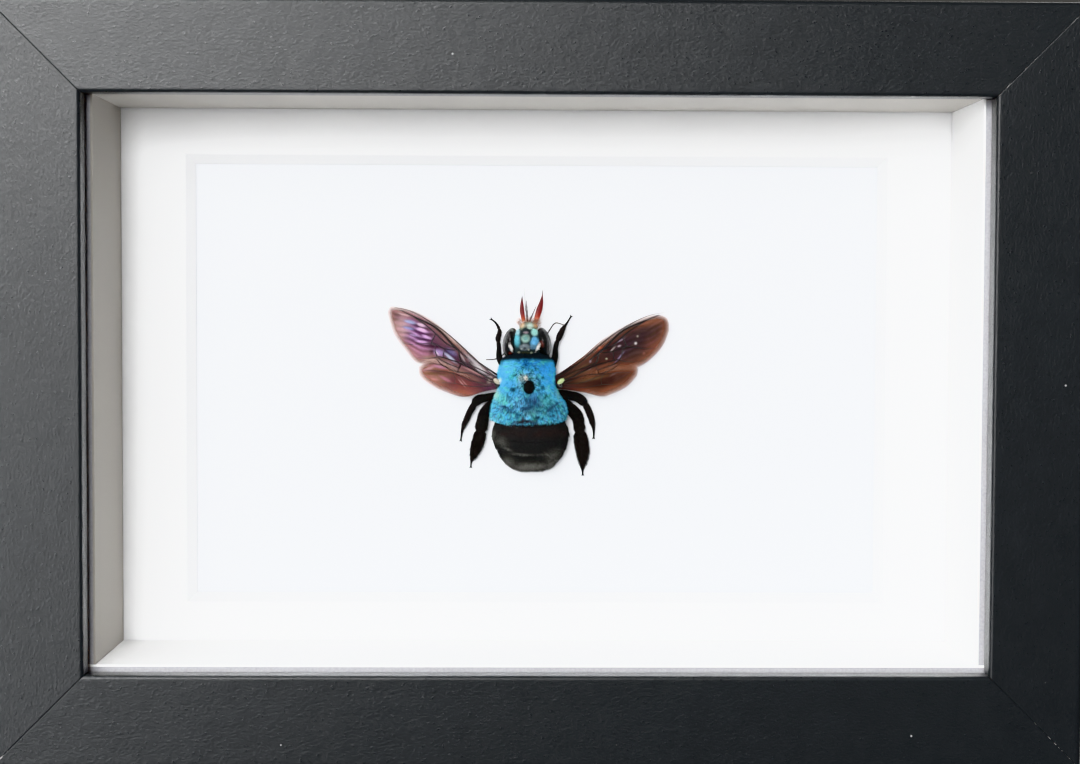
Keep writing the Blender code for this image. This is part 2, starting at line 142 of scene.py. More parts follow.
def addAttribute(tree, name, output="Color"):
    # what the mesh itself carries under that name
    return addNode(tree, "Attribute", {"attribute_name": name}).outputs[output]


def addScaled(tree, colour, share):
    # colour * share
    return addNode(tree, "VectorMath", {"operation": "SCALE"},
                   links={"Vector": colour, "Scale": share}).outputs["Vector"]


def gridFaces(rows, columns, closeColumns=False):
    # the quads of a grid of points numbered row by row; closed columns join the last to the first
    last = columns if closeColumns else columns - 1
    row, column = np.meshgrid(np.arange(rows - 1), np.arange(last), indexing="ij")
    nextColumn = (column + 1) % columns
    corners = [row * columns + column, row * columns + nextColumn,
               (row + 1) * columns + nextColumn, (row + 1) * columns + column]
    return np.stack(corners, axis=-1).reshape(-1, 4).tolist()


def tubeFaces(rows, columns):
    # the same for a tube of rings, with one flat face over each end
    ends = [list(range(columns)), list(range((rows - 1) * columns, rows * columns))]
    return gridFaces(rows, columns, True) + ends


def ringShape(rings, tint):
    # a closed skin over rings of equal count, with a point in the middle of each open end; the tint
    # is one colour, or one for each point of the rings
    rows, columns = rings.shape[:2]
    middles = rings[[0, -1]].mean(axis=1)
    points = np.vstack([rings.reshape(-1, 3), middles])
    here = np.arange(columns)
    there = (here + 1) % columns
    first = rows * columns
    firstCap = np.stack([np.full(columns, first), there, here], axis=-1)
    lastRing = first - columns
    lastCap = np.stack([np.full(columns, first + 1), lastRing + here, lastRing + there], axis=-1)
    faces = gridFaces(rows, columns, True) + firstCap.tolist() + lastCap.tolist()
    tint = np.broadcast_to(tint, rings.shape)
    tints = np.vstack([tint.reshape(-1, 3), tint[[0, -1]].mean(axis=1)])
    return {"points": points, "faces": faces, "tint": tints}


def joinShapes(shapes):
    # several shapes as one, their points numbered on
    points, faces, tints, start = [], [], [], 0
    for shape in shapes:
        points.append(shape["points"])
        faces += [[corner + start for corner in face] for face in shape["faces"]]
        tints.append(shape["tint"])
        start += len(shape["points"])
    return {"points": np.vstack(points), "faces": faces, "tint": np.vstack(tints)}


def addPiece(name, shape, materials, nodes, smooth=True, outward=True):
    # puts a shape into a mesh, turns its faces outwards, and hides the CAD nodes that it stands for
    mesh = bpy.data.meshes.new(name)
    mesh.from_pydata(shape["points"].tolist(), [], shape["faces"])
    for material in materials:
        mesh.materials.append(material)
    if "slots" in shape:
        mesh.polygons.foreach_set("material_index", shape["slots"])
    if "tint" in shape:
        colours = np.ones((len(shape["points"]), 4), np.float32)
        colours[:, :3] = shape["tint"]
        mesh.attributes.new("tint", "FLOAT_COLOR", "POINT").data.foreach_set("color", colours.ravel())
    for key in ("wear", "cover"):
        if key in shape:
            values = np.ascontiguousarray(shape[key], np.float32)
            mesh.attributes.new(key, "FLOAT", "POINT").data.foreach_set("value", values)
    mesh.polygons.foreach_set("use_smooth", np.full(len(mesh.polygons), smooth))
    if outward:
        work = bmesh.new()
        work.from_mesh(mesh)
        bmesh.ops.remove_doubles(work, verts=work.verts, dist=1e-7)
        bmesh.ops.recalc_face_normals(work, faces=work.faces)
        work.to_mesh(mesh)
        work.free()
    mesh.update()
    piece = bpy.data.objects.new(name, mesh)
    bpy.context.scene.collection.objects.link(piece)
    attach(piece, "root")
    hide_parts(*nodes)
    return piece


# Camera, light and floor

studio = {
    "cameraPlace": (-0.00421, -0.31160, 0.074326),
    "cameraTurn": (87.565, -0.852, 0.201),      # degrees about x, then y, then z, each in the turned axes
    "lens": 62.04,
    "aim": (0, 0, 0.061),
    "surround": (1.0, 0.97, 0.92),
    "surroundStrength": 0.10,
    "floorReach": 3.0,
    # name: (place, size across and up, power, colour, seen in gloss)
    "lights": {
        "windowLight": ((-0.118, -1.128, 0.218), (0.30, 0.40), 12.0, (0.975, 0.985, 1.0), False),
        "keyLight": ((-0.44, -1.05, 0.481), (0.60, 0.46), 7.7, (1.0, 1.0, 1.0), True),
        "sideLight": ((-0.60, -1.0, -0.13), (0.42, 0.4), 2.3, (0.97, 0.985, 1.0), True),
        "skyLight": ((-0.55, -0.42, 1.05), (0.32, 0.32), 4.0, (0.96, 0.98, 1.0), True),
        "backLight": ((0.9, 1.1, 0.7), (1.0, 1.0), 9.0, (1.0, 1.0, 1.0), True),
    },
}


def addCamera():
    # the photo's own point of view
    cameraData = bpy.data.cameras.new("camera")
    cameraData.lens = studio["lens"]
    cameraData.sensor_width = 36
    cameraData.clip_start = 0.01
    camera = bpy.data.objects.new("camera", cameraData)
    turnX, turnY, turnZ = (Matrix.Rotation(math.radians(angle), 4, axis)
                           for angle, axis in zip(studio["cameraTurn"], "XYZ"))
    camera.matrix_world = Matrix.Translation(studio["cameraPlace"]) @ turnX @ turnY @ turnZ
    bpy.context.scene.collection.objects.link(camera)
    bpy.context.scene.camera = camera


def addLight(name, place, size, power, colour, seen):
    # a soft light, as broad and tall as its size says, that looks at the frame
    lightData = bpy.data.lights.new(name, "AREA")
    lightData.shape = "RECTANGLE"
    lightData.size, lightData.size_y = size
    lightData.energy = power
    lightData.color = colour
    light = bpy.data.objects.new(name, lightData)
    aim = Matrix.Translation(studio["aim"]).translation - Matrix.Translation(place).translation
    light.matrix_world = Matrix.Translation(place) @ aim.to_track_quat("-Z", "Y").to_matrix().to_4x4()
    light.visible_glossy = seen
    light.visible_transmission = seen
    bpy.context.scene.collection.objects.link(light)


def addStudio():
    # camera, soft lights, a dim surround and a plain pale floor
    addCamera()
    for name, values in studio["lights"].items():
        addLight(name, *values)
    world = bpy.data.worlds.new("surround")
    world.use_nodes = True
    surround = world.node_tree.nodes["Background"]
    surround.inputs["Color"].default_value = (*studio["surround"], 1)
    surround.inputs["Strength"].default_value = studio["surroundStrength"]
    bpy.context.scene.world = world
    bpy.context.scene.view_settings.view_transform = "Khronos PBR Neutral"
    material, tree, shader = startMaterial("paleFloor", {"Roughness": 0.85})
    cloud = addNoise(tree, objectPlace(tree), 6.0)
    tree.links.new(addMix(tree, cloud, (0.62, 0.63, 0.64), (0.68, 0.69, 0.70)), shader.inputs["Base Color"])
    mesh = bpy.data.meshes.new("floor")
    reach = studio["floorReach"]
    corners = [(-reach, -reach, 0), (reach, -reach, 0), (reach, reach, 0), (-reach, reach, 0)]
    mesh.from_pydata(corners, [], [(0, 1, 2, 3)])
    mesh.materials.append(material)
    floor = bpy.data.objects.new("floor", mesh)
    floor.visible_glossy = False            # kept out of both faces of the glass, which would mirror it
    floor.visible_transmission = False
    bpy.context.scene.collection.objects.link(floor)


addStudio()
print("camera, light and floor made")


# Frame bars, in millimetres: depth from the face, and distance inward from the outer side

bars = {
    "width": 174.0,
    "height": 122.0,
    "depth": 36.0,
    "face": 15.0,
    "lip": 3.2,
    "wall": 10.5,
    "outerArris": 0.9,
    "innerArris": 0.6,
    "foilLap": 6.0,                 # how far the foil is lapped over the back
    "backArris": 0.35,
    "groove": 0.07,                 # depth of the joint's open line
    "grooveReach": 0.15,
    "wearReach": 0.24,              # how far a mitre's wear fades out
    "endRows": (0.004, 0.04, 0.09, 0.15, 0.25, 0.5, 1.2),
    "middleRows": 24,
    "faceSteps": 44,
    "arrisSteps": 8,
    "sharpFrom": 35,                # degrees
    # how worn each mitre is, from its inner to its outer end
    "mitreWear": {
        ("top", "left"): (0.3, 0.45, 0.5),
        ("top", "right"): (0.72, 0.68, 0.6),
        ("bottom", "left"): (0.1, 0.3, 1.3),
        ("bottom", "right"): (0.4, 0.7, 0.74),
    },
}


def makeFoil(name, stretch):
    # black foil with a fine leather emboss drawn out along the bar, and pale board where the mitres
    # are chipped
    material, tree, shader = startMaterial(name, {"Roughness": 0.32, "Specular IOR Level": 1.0})
    place = objectPlace(tree)
    wrinkle = addNoise(tree, objectPlace(tree, stretch), 1900, 5.0, 0.68, 0.2)
    pore = addNoise(tree, place, 5200, 2.0)
    swell = addNoise(tree, place, 260, 2.0)
    addBump(tree, shader, swell, 0.10 * mm, 0.5)
    addBump(tree, shader, wrinkle, 0.1 * mm, 0.72)
    addBump(tree, shader, pore, 0.012 * mm, 0.35)
    tree.links.new(addRange(tree, wrinkle, 0.3, 0.7, 0.37, 0.27), shader.inputs["Roughness"])
    foil = addMix(tree, swell, (0.018, 0.0195, 0.021), (0.024, 0.026, 0.028))
    chipNoise = addNoise(tree, place, 1500, 4.0, 0.6, 0.4)
    worn = addSum(tree, addAttribute(tree, "wear", "Fac"), chipNoise)
    chip = addRange(tree, worn, 1.16, 1.24)
    dust = addNode(tree, "TexVoronoi", values={"Scale": 130.0}, links={"Vector": place}).outputs["Distance"]
    speck = addRange(tree, dust, 0.014, 0.026, 0.75, 0.0)
    foil = addMix(tree, speck, foil, (0.42, 0.42, 0.42))
    tree.links.new(addMix(tree, chip, foil, (0.40, 0.39, 0.375)), shader.inputs["Base Color"])
    return material


def makeCoreBoard():
    # raw fibre board, seen only from behind
    material, tree, shader = startMaterial("coreBoard", {"Roughness": 0.85})
    fibre = addNoise(tree, objectPlace(tree, (0.35, 1.0, 1.0)), 1800, 5.0, 0.7, 0.8)
    cloud = addNoise(tree, objectPlace(tree), 160, 3.0)
    colour = addMix(tree, fibre, (0.24, 0.15, 0.085), (0.42, 0.29, 0.18))
    tree.links.new(addMix(tree, cloud, colour, (0.33, 0.22, 0.13)), shader.inputs["Base Color"])
    addBump(tree, shader, fibre, 0.06 * mm, 0.6)
    return material


def arc(middle, radius, start, end, steps):
    # points on a circle of that radius round the middle, between two angles in degrees
    angle = np.radians(np.linspace(start, end, steps + 1))
    return np.stack([middle[0] + radius * np.cos(angle), middle[1] + radius * np.sin(angle)], axis=-1)


def barProfile():
    # the bar's section in order round it: (depth, inward), with the face in fine steps
    outerArris, innerArris, steps = bars["outerArris"], bars["innerArris"], bars["arrisSteps"]
    outer = arc((outerArris, outerArris), outerArris, 270, 180, steps)
    inner = arc((innerArris, bars["face"] - innerArris), innerArris, 180, 90, steps)
    inward = np.linspace(outer[-1, 1], inner[0, 1], bars["faceSteps"])[1:-1]
    face = np.stack([np.zeros_like(inward), inward], axis=-1)
    lip, wall, depth, lap = bars["lip"], bars["wall"], bars["depth"], bars["foilLap"]
    arris = bars["backArris"]
    rest = np.array([(lip, bars["face"]), (lip, wall), (depth, wall), (depth, lap), (depth, arris),
                     (depth - arris, 0)])
    profile = np.vstack([outer, face, inner, rest])
    segmentSlots = np.zeros(len(profile), int)
    segmentSlots[-6:-3] = 1                     # lip's back, rebate wall and the bare part of the back
    return profile, segmentSlots


def barShape(side, length, profile, segmentSlots):
    # the section carried along the bar: along = share * (half length - inward) less the row's
    # distance from the mitre, and drawn in by groove * (1 - distance / reach) squared at the joint
    ends = np.array(bars["endRows"])
    shares = np.concatenate([np.full(len(ends), -1.0), np.linspace(-0.97, 0.97, bars["middleRows"]),
                             np.full(len(ends), 1.0)])
    back = np.concatenate([ends, np.zeros(bars["middleRows"]), ends[::-1]])
    fromMitre = np.where(np.abs(shares) == 1, back, 9.0)
    tangent = np.roll(profile, -1, axis=0) - np.roll(profile, 1, axis=0)
    tangent /= np.linalg.norm(tangent, axis=1)[:, None]
    inwards = np.stack([tangent[:, 1], -tangent[:, 0]], axis=-1)
    draw = bars["groove"] * np.clip(1 - fromMitre / bars["grooveReach"], 0, 1) ** 2
    section = profile[None] + inwards[None] * draw[:, None, None]
    depth, inward = section[..., 0], section[..., 1]
    along = shares[:, None] * (length / 2 - inward) - (np.sign(shares) * back)[:, None]
    halfWidth, height = bars["width"] / 2, bars["height"]
    places = {
        "bottom": (along, inward),
        "top": (along, height - inward),
        "left": (inward - halfWidth, height / 2 + along),
        "right": (halfWidth - inward, height / 2 + along),
    }
    x, z = places[side]
    points = np.stack([x, depth - bars["depth"] / 2, z], axis=-1).reshape(-1, 3) * mm
    share = np.clip(1 - inward / bars["face"], 0, 1)
    wear = np.zeros_like(share)
    for end in (-1, 1):
        if side in ("top", "bottom"):
            corner = (side, "left" if end < 0 else "right")
        else:
            corner = ("bottom" if end < 0 else "top", side)
        strength = np.interp(share, (0, 0.65, 1), bars["mitreWear"][corner])
        near = np.exp(-fromMitre / bars["wearReach"])[:, None] * (np.sign(shares) == end)[:, None]
        wear += strength * near
    rows, columns = depth.shape
    slots = np.concatenate([np.tile(segmentSlots, rows - 1), [1, 1]])
    return {"points": points, "faces": tubeFaces(rows, columns), "wear": wear.ravel(), "slots": slots}


def addFrame():
    # four bars of one section, the foil's emboss drawn out along each
    level = makeFoil("blackFoilLevel", (0.75, 1.0, 1.3))
    upright = makeFoil("blackFoilUpright", (1.3, 1.0, 0.75))
    coreBoard = makeCoreBoard()
    profile, segmentSlots = barProfile()
    for side in ("bottom", "top", "left", "right"):
        isLevel = side in ("bottom", "top")
        materials = [level if isLevel else upright, coreBoard]
        length = bars["width"] if isLevel else bars["height"]
        shape = barShape(side, length, profile, segmentSlots)
        bar = addPiece(f"bar_{side}", shape, materials, [f"frame_bar_{side}"])
        bar.data.set_sharp_from_angle(angle=math.radians(bars["sharpFrom"]))


addFrame()
print("frame bars made")


# Glass, spacers, mat, card and the back

layers = {
    "skin": 0.35,                   # the foam board's paper skins
    "recess": 0.12,                 # how far the foam lies below them at a cut edge
    "topDrawn": 1.1,                # how far the top strip is drawn up behind the lip
    "joint": 0.02,                  # the gap where an upright strip meets a level one
    "matWindow": (120.5, 77.0),
    "arris": 0.05,                  # of the window's bevel
    "stripRows": 12,
    # two shades of each paper, the grain of its tooth to the metre, and the tooth's height
    "papers": {
        "spacerPaper": ((0.98, 0.98, 0.975), (0.97, 0.965, 0.96), 3200, 0.003 * mm),
        # the left and top strips take darker copies of the same paper: painted shade for the shade on those
        # two walls
        "spacerPaperPaintedShadeLeft": ((0.37, 0.35, 0.315), (0.34, 0.32, 0.29), 3200, 0.003 * mm),
        "spacerPaperPaintedShadeTop": ((0.50, 0.48, 0.445), (0.47, 0.45, 0.42), 3200, 0.003 * mm),
        "matPaper": ((0.86, 0.86, 0.86), (0.84, 0.84, 0.845), 4200, 0.012 * mm),
        "matCore": ((0.80, 0.80, 0.80), (0.77, 0.77, 0.78), 5200, 0.02 * mm),
        "bluishCard": ((0.96, 0.975, 1.0), (0.95, 0.965, 0.995), 3600, 0.012 * mm),
    },
}


def makeBoardSurface(name, colour, other, grain, bump):
    # smooth white board: a faint cloudy tint and a fine paper tooth
    material, tree, shader = startMaterial(name, {"Roughness": 0.72, "Specular IOR Level": 0.35})
    cloud = addNoise(tree, objectPlace(tree), 45, 3.0)
    tooth = addNoise(tree, objectPlace(tree), grain, 4.0, 0.65)
    fleck = addRange(tree, tooth, 0.25, 0.45, 0.35, 0.0)
    base = addMix(tree, cloud, colour, other)
    darker = tuple(0.93 * value for value in colour)
    tree.links.new(addMix(tree, fleck, base, darker), shader.inputs["Base Color"])
    addBump(tree, shader, tooth, bump, 0.5)
    return material


def makeFoam():
    # the cut edge of foam board: small closed cells
    material, tree, shader = startMaterial("foamEdge", {"Roughness": 0.9})
    cell = addNode(tree, "TexVoronoi", values={"Scale": 2600.0}, links={"Vector": objectPlace(tree)})
    tree.links.new(addMix(tree, cell.outputs["Distance"], (0.42, 0.42, 0.44), (0.33, 0.33, 0.35)),
                   shader.inputs["Base Color"])
    addBump(tree, shader, cell.outputs["Distance"], 0.05 * mm, 0.6)
    return material


def makeGlass():
    # clear float glass with a breath of haze on it
    material, tree, shader = startMaterial("clearGlass", {
        "Base Color": (1.0, 1.0, 1.0), "Roughness": 0.0, "IOR": 1.45, "Transmission Weight": 1.0})
    film = addNoise(tree, objectPlace(tree), 28, 3.0, 0.6)
    tree.links.new(addRange(tree, film, 0.45, 0.8, 0.0, 0.006), shader.inputs["Roughness"])
    return material


def makeHardboard():
    # dark pressed board: long fibres, mottling and a fine screen print on its rough side
    material, tree, shader = startMaterial("hardboard", {"Roughness": 0.62})
    fibre = addNoise(tree, objectPlace(tree, (1.0, 1.0, 0.45)), 1500, 5.0, 0.7, 1.2)
    cloud = addNoise(tree, objectPlace(tree), 70, 4.0)
    fleck = addRange(tree, addNoise(tree, objectPlace(tree), 900, 2.0), 0.62, 0.72)
    colour = addMix(tree, fibre, (0.115, 0.060, 0.028), (0.25, 0.145, 0.075))
    colour = addMix(tree, cloud, colour, (0.17, 0.095, 0.045))
    tree.links.new(addMix(tree, fleck, colour, (0.32, 0.20, 0.11)), shader.inputs["Base Color"])
    mesh = addNode(tree, "TexVoronoi", {"distance": "CHEBYCHEV"}, {"Scale": 900.0, "Randomness": 0.0},
                   {"Vector": objectPlace(tree)}).outputs["Distance"]
    addBump(tree, shader, mesh, 0.08 * mm, 0.5)
    addBump(tree, shader, fibre, 0.04 * mm, 0.5)
    return material


def makeSteel():
    # thin zinc-coated steel: rolled streaks, cloudy gloss and a few dull spots
    material, tree, shader = startMaterial("tabSteel", {"Metallic": 1.0, "Roughness": 0.3})
    streak = addNoise(tree, objectPlace(tree, (0.08, 1.0, 1.0)), 3000, 3.0)
    cloud = addNoise(tree, objectPlace(tree), 320, 3.0)
    colour = addMix(tree, cloud, (0.50, 0.50, 0.49), (0.68, 0.68, 0.66))
    tree.links.new(addMix(tree, streak, colour, (0.58, 0.57, 0.54)), shader.inputs["Base Color"])
    tree.links.new(addRange(tree, cloud, 0.3, 0.7, 0.42, 0.24), shader.inputs["Roughness"])
    addBump(tree, shader, streak, 0.02 * mm, 0.5)
    return material


def stripShape(low, high, inwardAxis, alongAxis):
    # foam board strip: the section of skins and recessed foam, (depth, thickness), along the strip
    thickness = high[inwardAxis] - low[inwardAxis]
    front, back = low[1], high[1]
    skin, recess = layers["skin"] * mm, layers["recess"] * mm
    edge = np.array([(0, 0), (0, skin), (recess, skin * 1.15), (recess, thickness - skin * 1.15),
                     (0, thickness - skin), (0, thickness)])
    far = edge[::-1] * [-1, 1] + [back - front, 0]
    section = np.vstack([edge, far])
    rows = np.linspace(low[alongAxis], high[alongAxis], layers["stripRows"])
    points = np.zeros((len(rows), len(section), 3))
    points[..., alongAxis] = rows[:, None]
    points[..., 1] = front + section[None, :, 0]
    points[..., inwardAxis] = low[inwardAxis] + section[None, :, 1]
    columns = len(section)
    foam = np.isin(np.arange(columns), (1, 2, 3, 7, 8, 9)).astype(int)
    slots = np.concatenate([np.tile(foam, len(rows) - 1), [1, 1]])
    return {"points": points.reshape(-1, 3), "faces": tubeFaces(len(rows), columns), "slots": slots}


def addSpacers(facings, foam):
    # the upright strips fill the height between the level ones, less a hair's joint
    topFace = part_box("spacer_top")[0].z + layers["topDrawn"] * mm
    joint = layers["joint"] * mm
    for side, inwardAxis, alongAxis in (("bottom", 2, 0), ("top", 2, 0), ("left", 0, 2), ("right", 0, 2)):
        node = f"spacer_{side}"
        low, high = (list(corner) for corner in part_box(node))
        if side == "top":
            low[2] = topFace
        elif side != "bottom":
            low[2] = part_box("spacer_bottom")[1].z + joint
            high[2] = topFace - joint
        shape = stripShape(low, high, inwardAxis, alongAxis)
        addPiece(f"wall_{side}", shape, [facings[side], foam], [node], smooth=False)


def addMat(board, core):
    # a closed section (half width, half height, depth) carried round the four corners of the window
    low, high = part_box("window_mat")
    middle = (low.z + high.z) / 2
    halfWidth, halfHeight = (high.x - low.x) / 2, (high.z - low.z) / 2
    windowWidth, windowHeight = (size * mm / 2 for size in layers["matWindow"])
    slope, arris = high.y - low.y, layers["arris"] * mm
    section = np.array([
        (halfWidth, halfHeight, low.y),
        (windowWidth + arris, windowHeight + arris, low.y),
        (windowWidth - arris * 0.3, windowHeight - arris * 0.3, low.y + arris * 0.5),
        (windowWidth - slope, windowHeight - slope, high.y - arris),
        (windowWidth - slope, windowHeight - slope, high.y),
        (halfWidth, halfHeight, high.y),
    ])
    corners = np.array([(-1, -1), (1, -1), (1, 1), (-1, 1), (-1, -1)])
    points = np.stack([
        corners[:, None, 0] * section[None, :, 0],
        np.broadcast_to(section[None, :, 2], (5, len(section))),
        middle + corners[:, None, 1] * section[None, :, 1],
    ], axis=-1)
    slots = np.tile([0, 0, 1, 1, 0, 0], 4)
    shape = {"points": points.reshape(-1, 3), "faces": gridFaces(5, len(section), True), "slots": slots}
    addPiece("mat", shape, [board, core], ["window_mat"], smooth=False)


def dressNode(name, material):
    # a CAD node whose shape is right keeps it and takes a better material
    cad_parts[name].material_slots[0].material = material


def addLayers():
    # everything between the bars, from the glass to the hanger
    paper, leftPaintedShade, topPaintedShade, board, core, card = (
        makeBoardSurface(name, *values) for name, values in layers["papers"].items())
    # the top and left walls take the darker copies, which paint the shade that falls on them
    facings = {"bottom": paper, "top": topPaintedShade, "left": leftPaintedShade, "right": paper}
    addSpacers(facings, makeFoam())
    addMat(board, core)
    dressNode("backing_card", card)
    dressNode("glass_pane", makeGlass())
    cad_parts["glass_pane"].visible_shadow = False
    dressNode("back_panel", makeHardboard())
    steel = makeSteel()
    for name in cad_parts:
        if name.startswith(("panel_tab", "hanger")):
            dressNode(name, steel)


addLayers()
print("glass, walls, mat, card and back made")


# The bee. Its shapes are worked out in millimetres: (across, up, rise) from the middle of its
# thorax on the card, the rise away from the card.

beePlace = {"across": -1.5 * mm, "up": 60.5 * mm, "card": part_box("backing_card")[0].y}
latticeSize = 32
lattice = np.random.default_rng(11).random((latticeSize,) * 3)


def beePoints(local):
    # (across, up, rise) in millimetres as the frame's own (x, y, z) in metres
    return np.stack([beePlace["across"] + local[..., 0] * mm, beePlace["card"] - local[..., 2] * mm,
                     beePlace["up"] + local[..., 1] * mm], axis=-1)


def unit(vectors):
    # vectors divided by their lengths
    return vectors / np.maximum(np.linalg.norm(vectors, axis=-1, keepdims=True), 1e-12)


def softNoise(points, cell, shift=0.0):
    # smooth noise from 0 to 1: random values on a lattice, blended between a cell's eight corners
    place = points / cell + shift
    low = np.floor(place).astype(int)
    part = place - low
    part = part * part * (3 - 2 * part)
    total = 0.0
    for corner in np.ndindex(2, 2, 2):
        index = (low + corner) % latticeSize
        weight = np.prod(np.where(corner, part, 1 - part), axis=-1)
        total = total + lattice[index[..., 0], index[..., 1], index[..., 2]] * weight
    return total


def drift(points, cell, shifts):
    # three soft noises less a half, as a direction that changes slowly from place to place
    return np.stack([softNoise(points, cell, shift) - 0.5 for shift in shifts], axis=-1)


def smoothRows(rows, steps):
    # a smooth curve (Catmull-Rom) through the rows, read at equal steps between each pair
    rows = np.array(rows, float)
    padded = np.vstack([rows[:1], rows, rows[-1:]])
    t = np.linspace(0, 1, steps, endpoint=False)[None, :, None]
    a, b, c, d = (padded[i:len(rows) - 1 + i, None, :] for i in range(4))
    curve = 0.5 * (2 * b + (c - a) * t + (2 * a - 5 * b + 4 * c - d) * t ** 2
                   + (3 * b - a - 3 * c + d) * t ** 3)
    return np.vstack([curve.reshape(-1, rows.shape[1]), rows[-1:]])


def evenLine(points, count):
    # a line through the points read at equal distances along it
    line = smoothRows(points, 12)
    gone = np.concatenate([[0], np.cumsum(np.linalg.norm(np.diff(line, axis=0), axis=1))])
    at = np.linspace(0, gone[-1], count)
    return np.stack([np.interp(at, gone, line[:, axis]) for axis in range(line.shape[1])], axis=-1)


def bodyRings(stations, steps, sides, inset):
    # upright elliptic rings: across + width * cos, rise + thickness * sin, both less the inset
    up, across, width, rise, thickness = smoothRows(stations, steps).T
    angle = np.linspace(0, 2 * math.pi, sides, endpoint=False)
    width, thickness = np.maximum(width - inset, 0.05), np.maximum(thickness - inset, 0.05)
    middle = up.mean()
    up = middle + (up - middle) * (1 - inset / (up.max() - up.min()))
    return np.stack([
        across[:, None] + width[:, None] * np.cos(angle),
        np.broadcast_to(up[:, None], (len(up), sides)),
        rise[:, None] + thickness[:, None] * np.sin(angle),
    ], axis=-1)


def lumpRings(middle, radii, tilt=0.0, rows=48, sides=64):
    # an ellipsoid with radii (across, up, rise), tilted in the plane of the card by degrees
    height = np.cos(np.linspace(0.02, math.pi - 0.02, rows))
    girth = np.sqrt(1 - height ** 2)[:, None]
    angle = np.linspace(0, 2 * math.pi, sides, endpoint=False)
    across = radii[0] * girth * np.cos(angle)
    up = np.broadcast_to(radii[1] * height[:, None], across.shape)
    rise = radii[2] * girth * np.sin(angle)
    across, up = turned(across, up, tilt)
    return np.stack([middle[0] + across, middle[1] + up, middle[2] + rise], axis=-1)


def limbRings(stations, steps, sides, flatness=1.0, bead=0.0, beads=0):
    # rings round a path of (across, up, rise, half width): side * width * cos + out * width * flatness
    # * sin, swollen by bead * |sin| along it where it is segmented
    rows = smoothRows(stations, steps)
    path = rows[:, :3]
    forward = unit(np.gradient(path, axis=0))
    side = unit(np.cross(forward, [0, 0, 1.0]))
    out = np.cross(side, forward)
    t = np.linspace(0, 1, len(rows))
    width = rows[:, 3] * (1 + bead * (np.abs(np.sin(math.pi * beads * t)) - 0.5))
    angle = np.linspace(0, 2 * math.pi, sides, endpoint=False)[:, None]
    offset = side[:, None] * np.cos(angle) + out[:, None] * (flatness * np.sin(angle))
    return path[:, None] + offset * width[:, None, None]


def spot(across, up, mark, edge=1.5):
    # 1 in an ellipse and 0 outside: exp(-(distance in radii squared) ** edge), sharper as edge grows
    x, y = turned(across - mark[0], up - mark[1], mark[4])
    return np.exp(-((x / mark[2]) ** 2 + (y / mark[3]) ** 2) ** edge)


def paintMarks(colours, across, up, marks, edge=1.5):
    # marks are (across, up, two radii, turn in degrees, colour, strength), laid on in turn
    for mark in marks:
        amount = (spot(across, up, mark, edge) * mark[6])[..., None]
        colours = mixed(colours, tone(*mark[5]), amount)
    return colours


def scatter(rings, count, random, wanted):
    # places on a ringed skin and its normals there: a cell drawn by its area * how wanted it is, then a
    # place within it
    a, c = rings[:-1], rings[1:]
    b, d = np.roll(a, -1, axis=1), np.roll(c, -1, axis=1)
    normals = np.cross(b - a, c - a)
    weight = np.linalg.norm(normals, axis=-1)
    middles = np.broadcast_to(a.mean(axis=1, keepdims=True), a.shape)
    inward = np.sum(normals * (a - middles), axis=-1) < 0
    normals[inward] *= -1
    weight = weight * wanted((a + d) / 2, unit(normals))
    weight = weight.ravel() / weight.sum()
    chosen = random.choice(weight.size, count, p=weight)
    s, t = random.random((2, count, 1))
    a, b, c, d = (corner.reshape(-1, 3)[chosen] for corner in (a, b, c, d))
    place = (a * (1 - s) + b * s) * (1 - t) + (c * (1 - s) + d * s) * t
    return place, unit(normals.reshape(-1, 3)[chosen])


def hairShape(roots, directions, lengths, width, colours, random, curl=0.12):
    # closed three-sided hairs: a ring at the root, a thinner one at 0.55 of the length, set aside by
    # curl * length, and a point at the tip
    count = len(roots)
    lengths = np.broadcast_to(lengths, (count,))[:, None]
    axis = unit(directions)
    side = unit(np.cross(axis, unit(random.normal(size=(count, 3)))))
    out = np.cross(axis, side)
    middle = roots + axis * lengths * 0.55 + unit(random.normal(size=(count, 3))) * lengths * curl
    tip = roots + axis * lengths
    points = np.empty((count, 7, 3))
    for corner in range(3):
        angle = 2 * math.pi * corner / 3
        around = side * math.cos(angle) + out * math.sin(angle)
        points[:, corner] = roots + around * (width / 2)
        points[:, 3 + corner] = middle + around * (width / 2) * 0.75
    points[:, 6] = tip
    pattern = [[0, 2, 1], [0, 1, 4, 3], [1, 2, 5, 4], [2, 0, 3, 5], [3, 4, 6], [4, 5, 6], [5, 3, 6]]
    start = np.arange(count)[:, None] * 7
    faces = []
    for face in pattern:
        faces += (start + np.array(face)).tolist()
    shade = np.array([0.62] * 3 + [0.95] * 3 + [1.12])      # darker at the root, lighter at the tip
    tint = np.clip(colours[:, None, :] * shade[None, :, None], 0, 1)
    return {"points": beePoints(points).reshape(-1, 3), "faces": faces, "tint": tint.reshape(-1, 3)}


def addBeePiece(name, shape, material, outward=True):
    # a visible part of the one bee
    return addPiece(name, shape, [material], ["carpenter_bee"], outward=outward)


def placed(*shapes):
    # shapes joined into one, taken from the bee's own measures to the frame's
    shape = joinShapes(shapes)
    shape["points"] = beePoints(shape["points"])
    return shape


def makeTinted(name, values, grain, bump, spread):
    # the piece's own tint attribute, with a fine mottle and a fine bump over it
    material, tree, shader = startMaterial(name, values)
    speckle = addNoise(tree, objectPlace(tree), grain, 3.0, 0.6)
    share = addRange(tree, speckle, 0.25, 0.75, 1 - spread, 1 + spread)
    tree.links.new(addScaled(tree, addAttribute(tree, "tint"), share), shader.inputs["Base Color"])
    addBump(tree, shader, speckle, bump, 0.6)
    return material


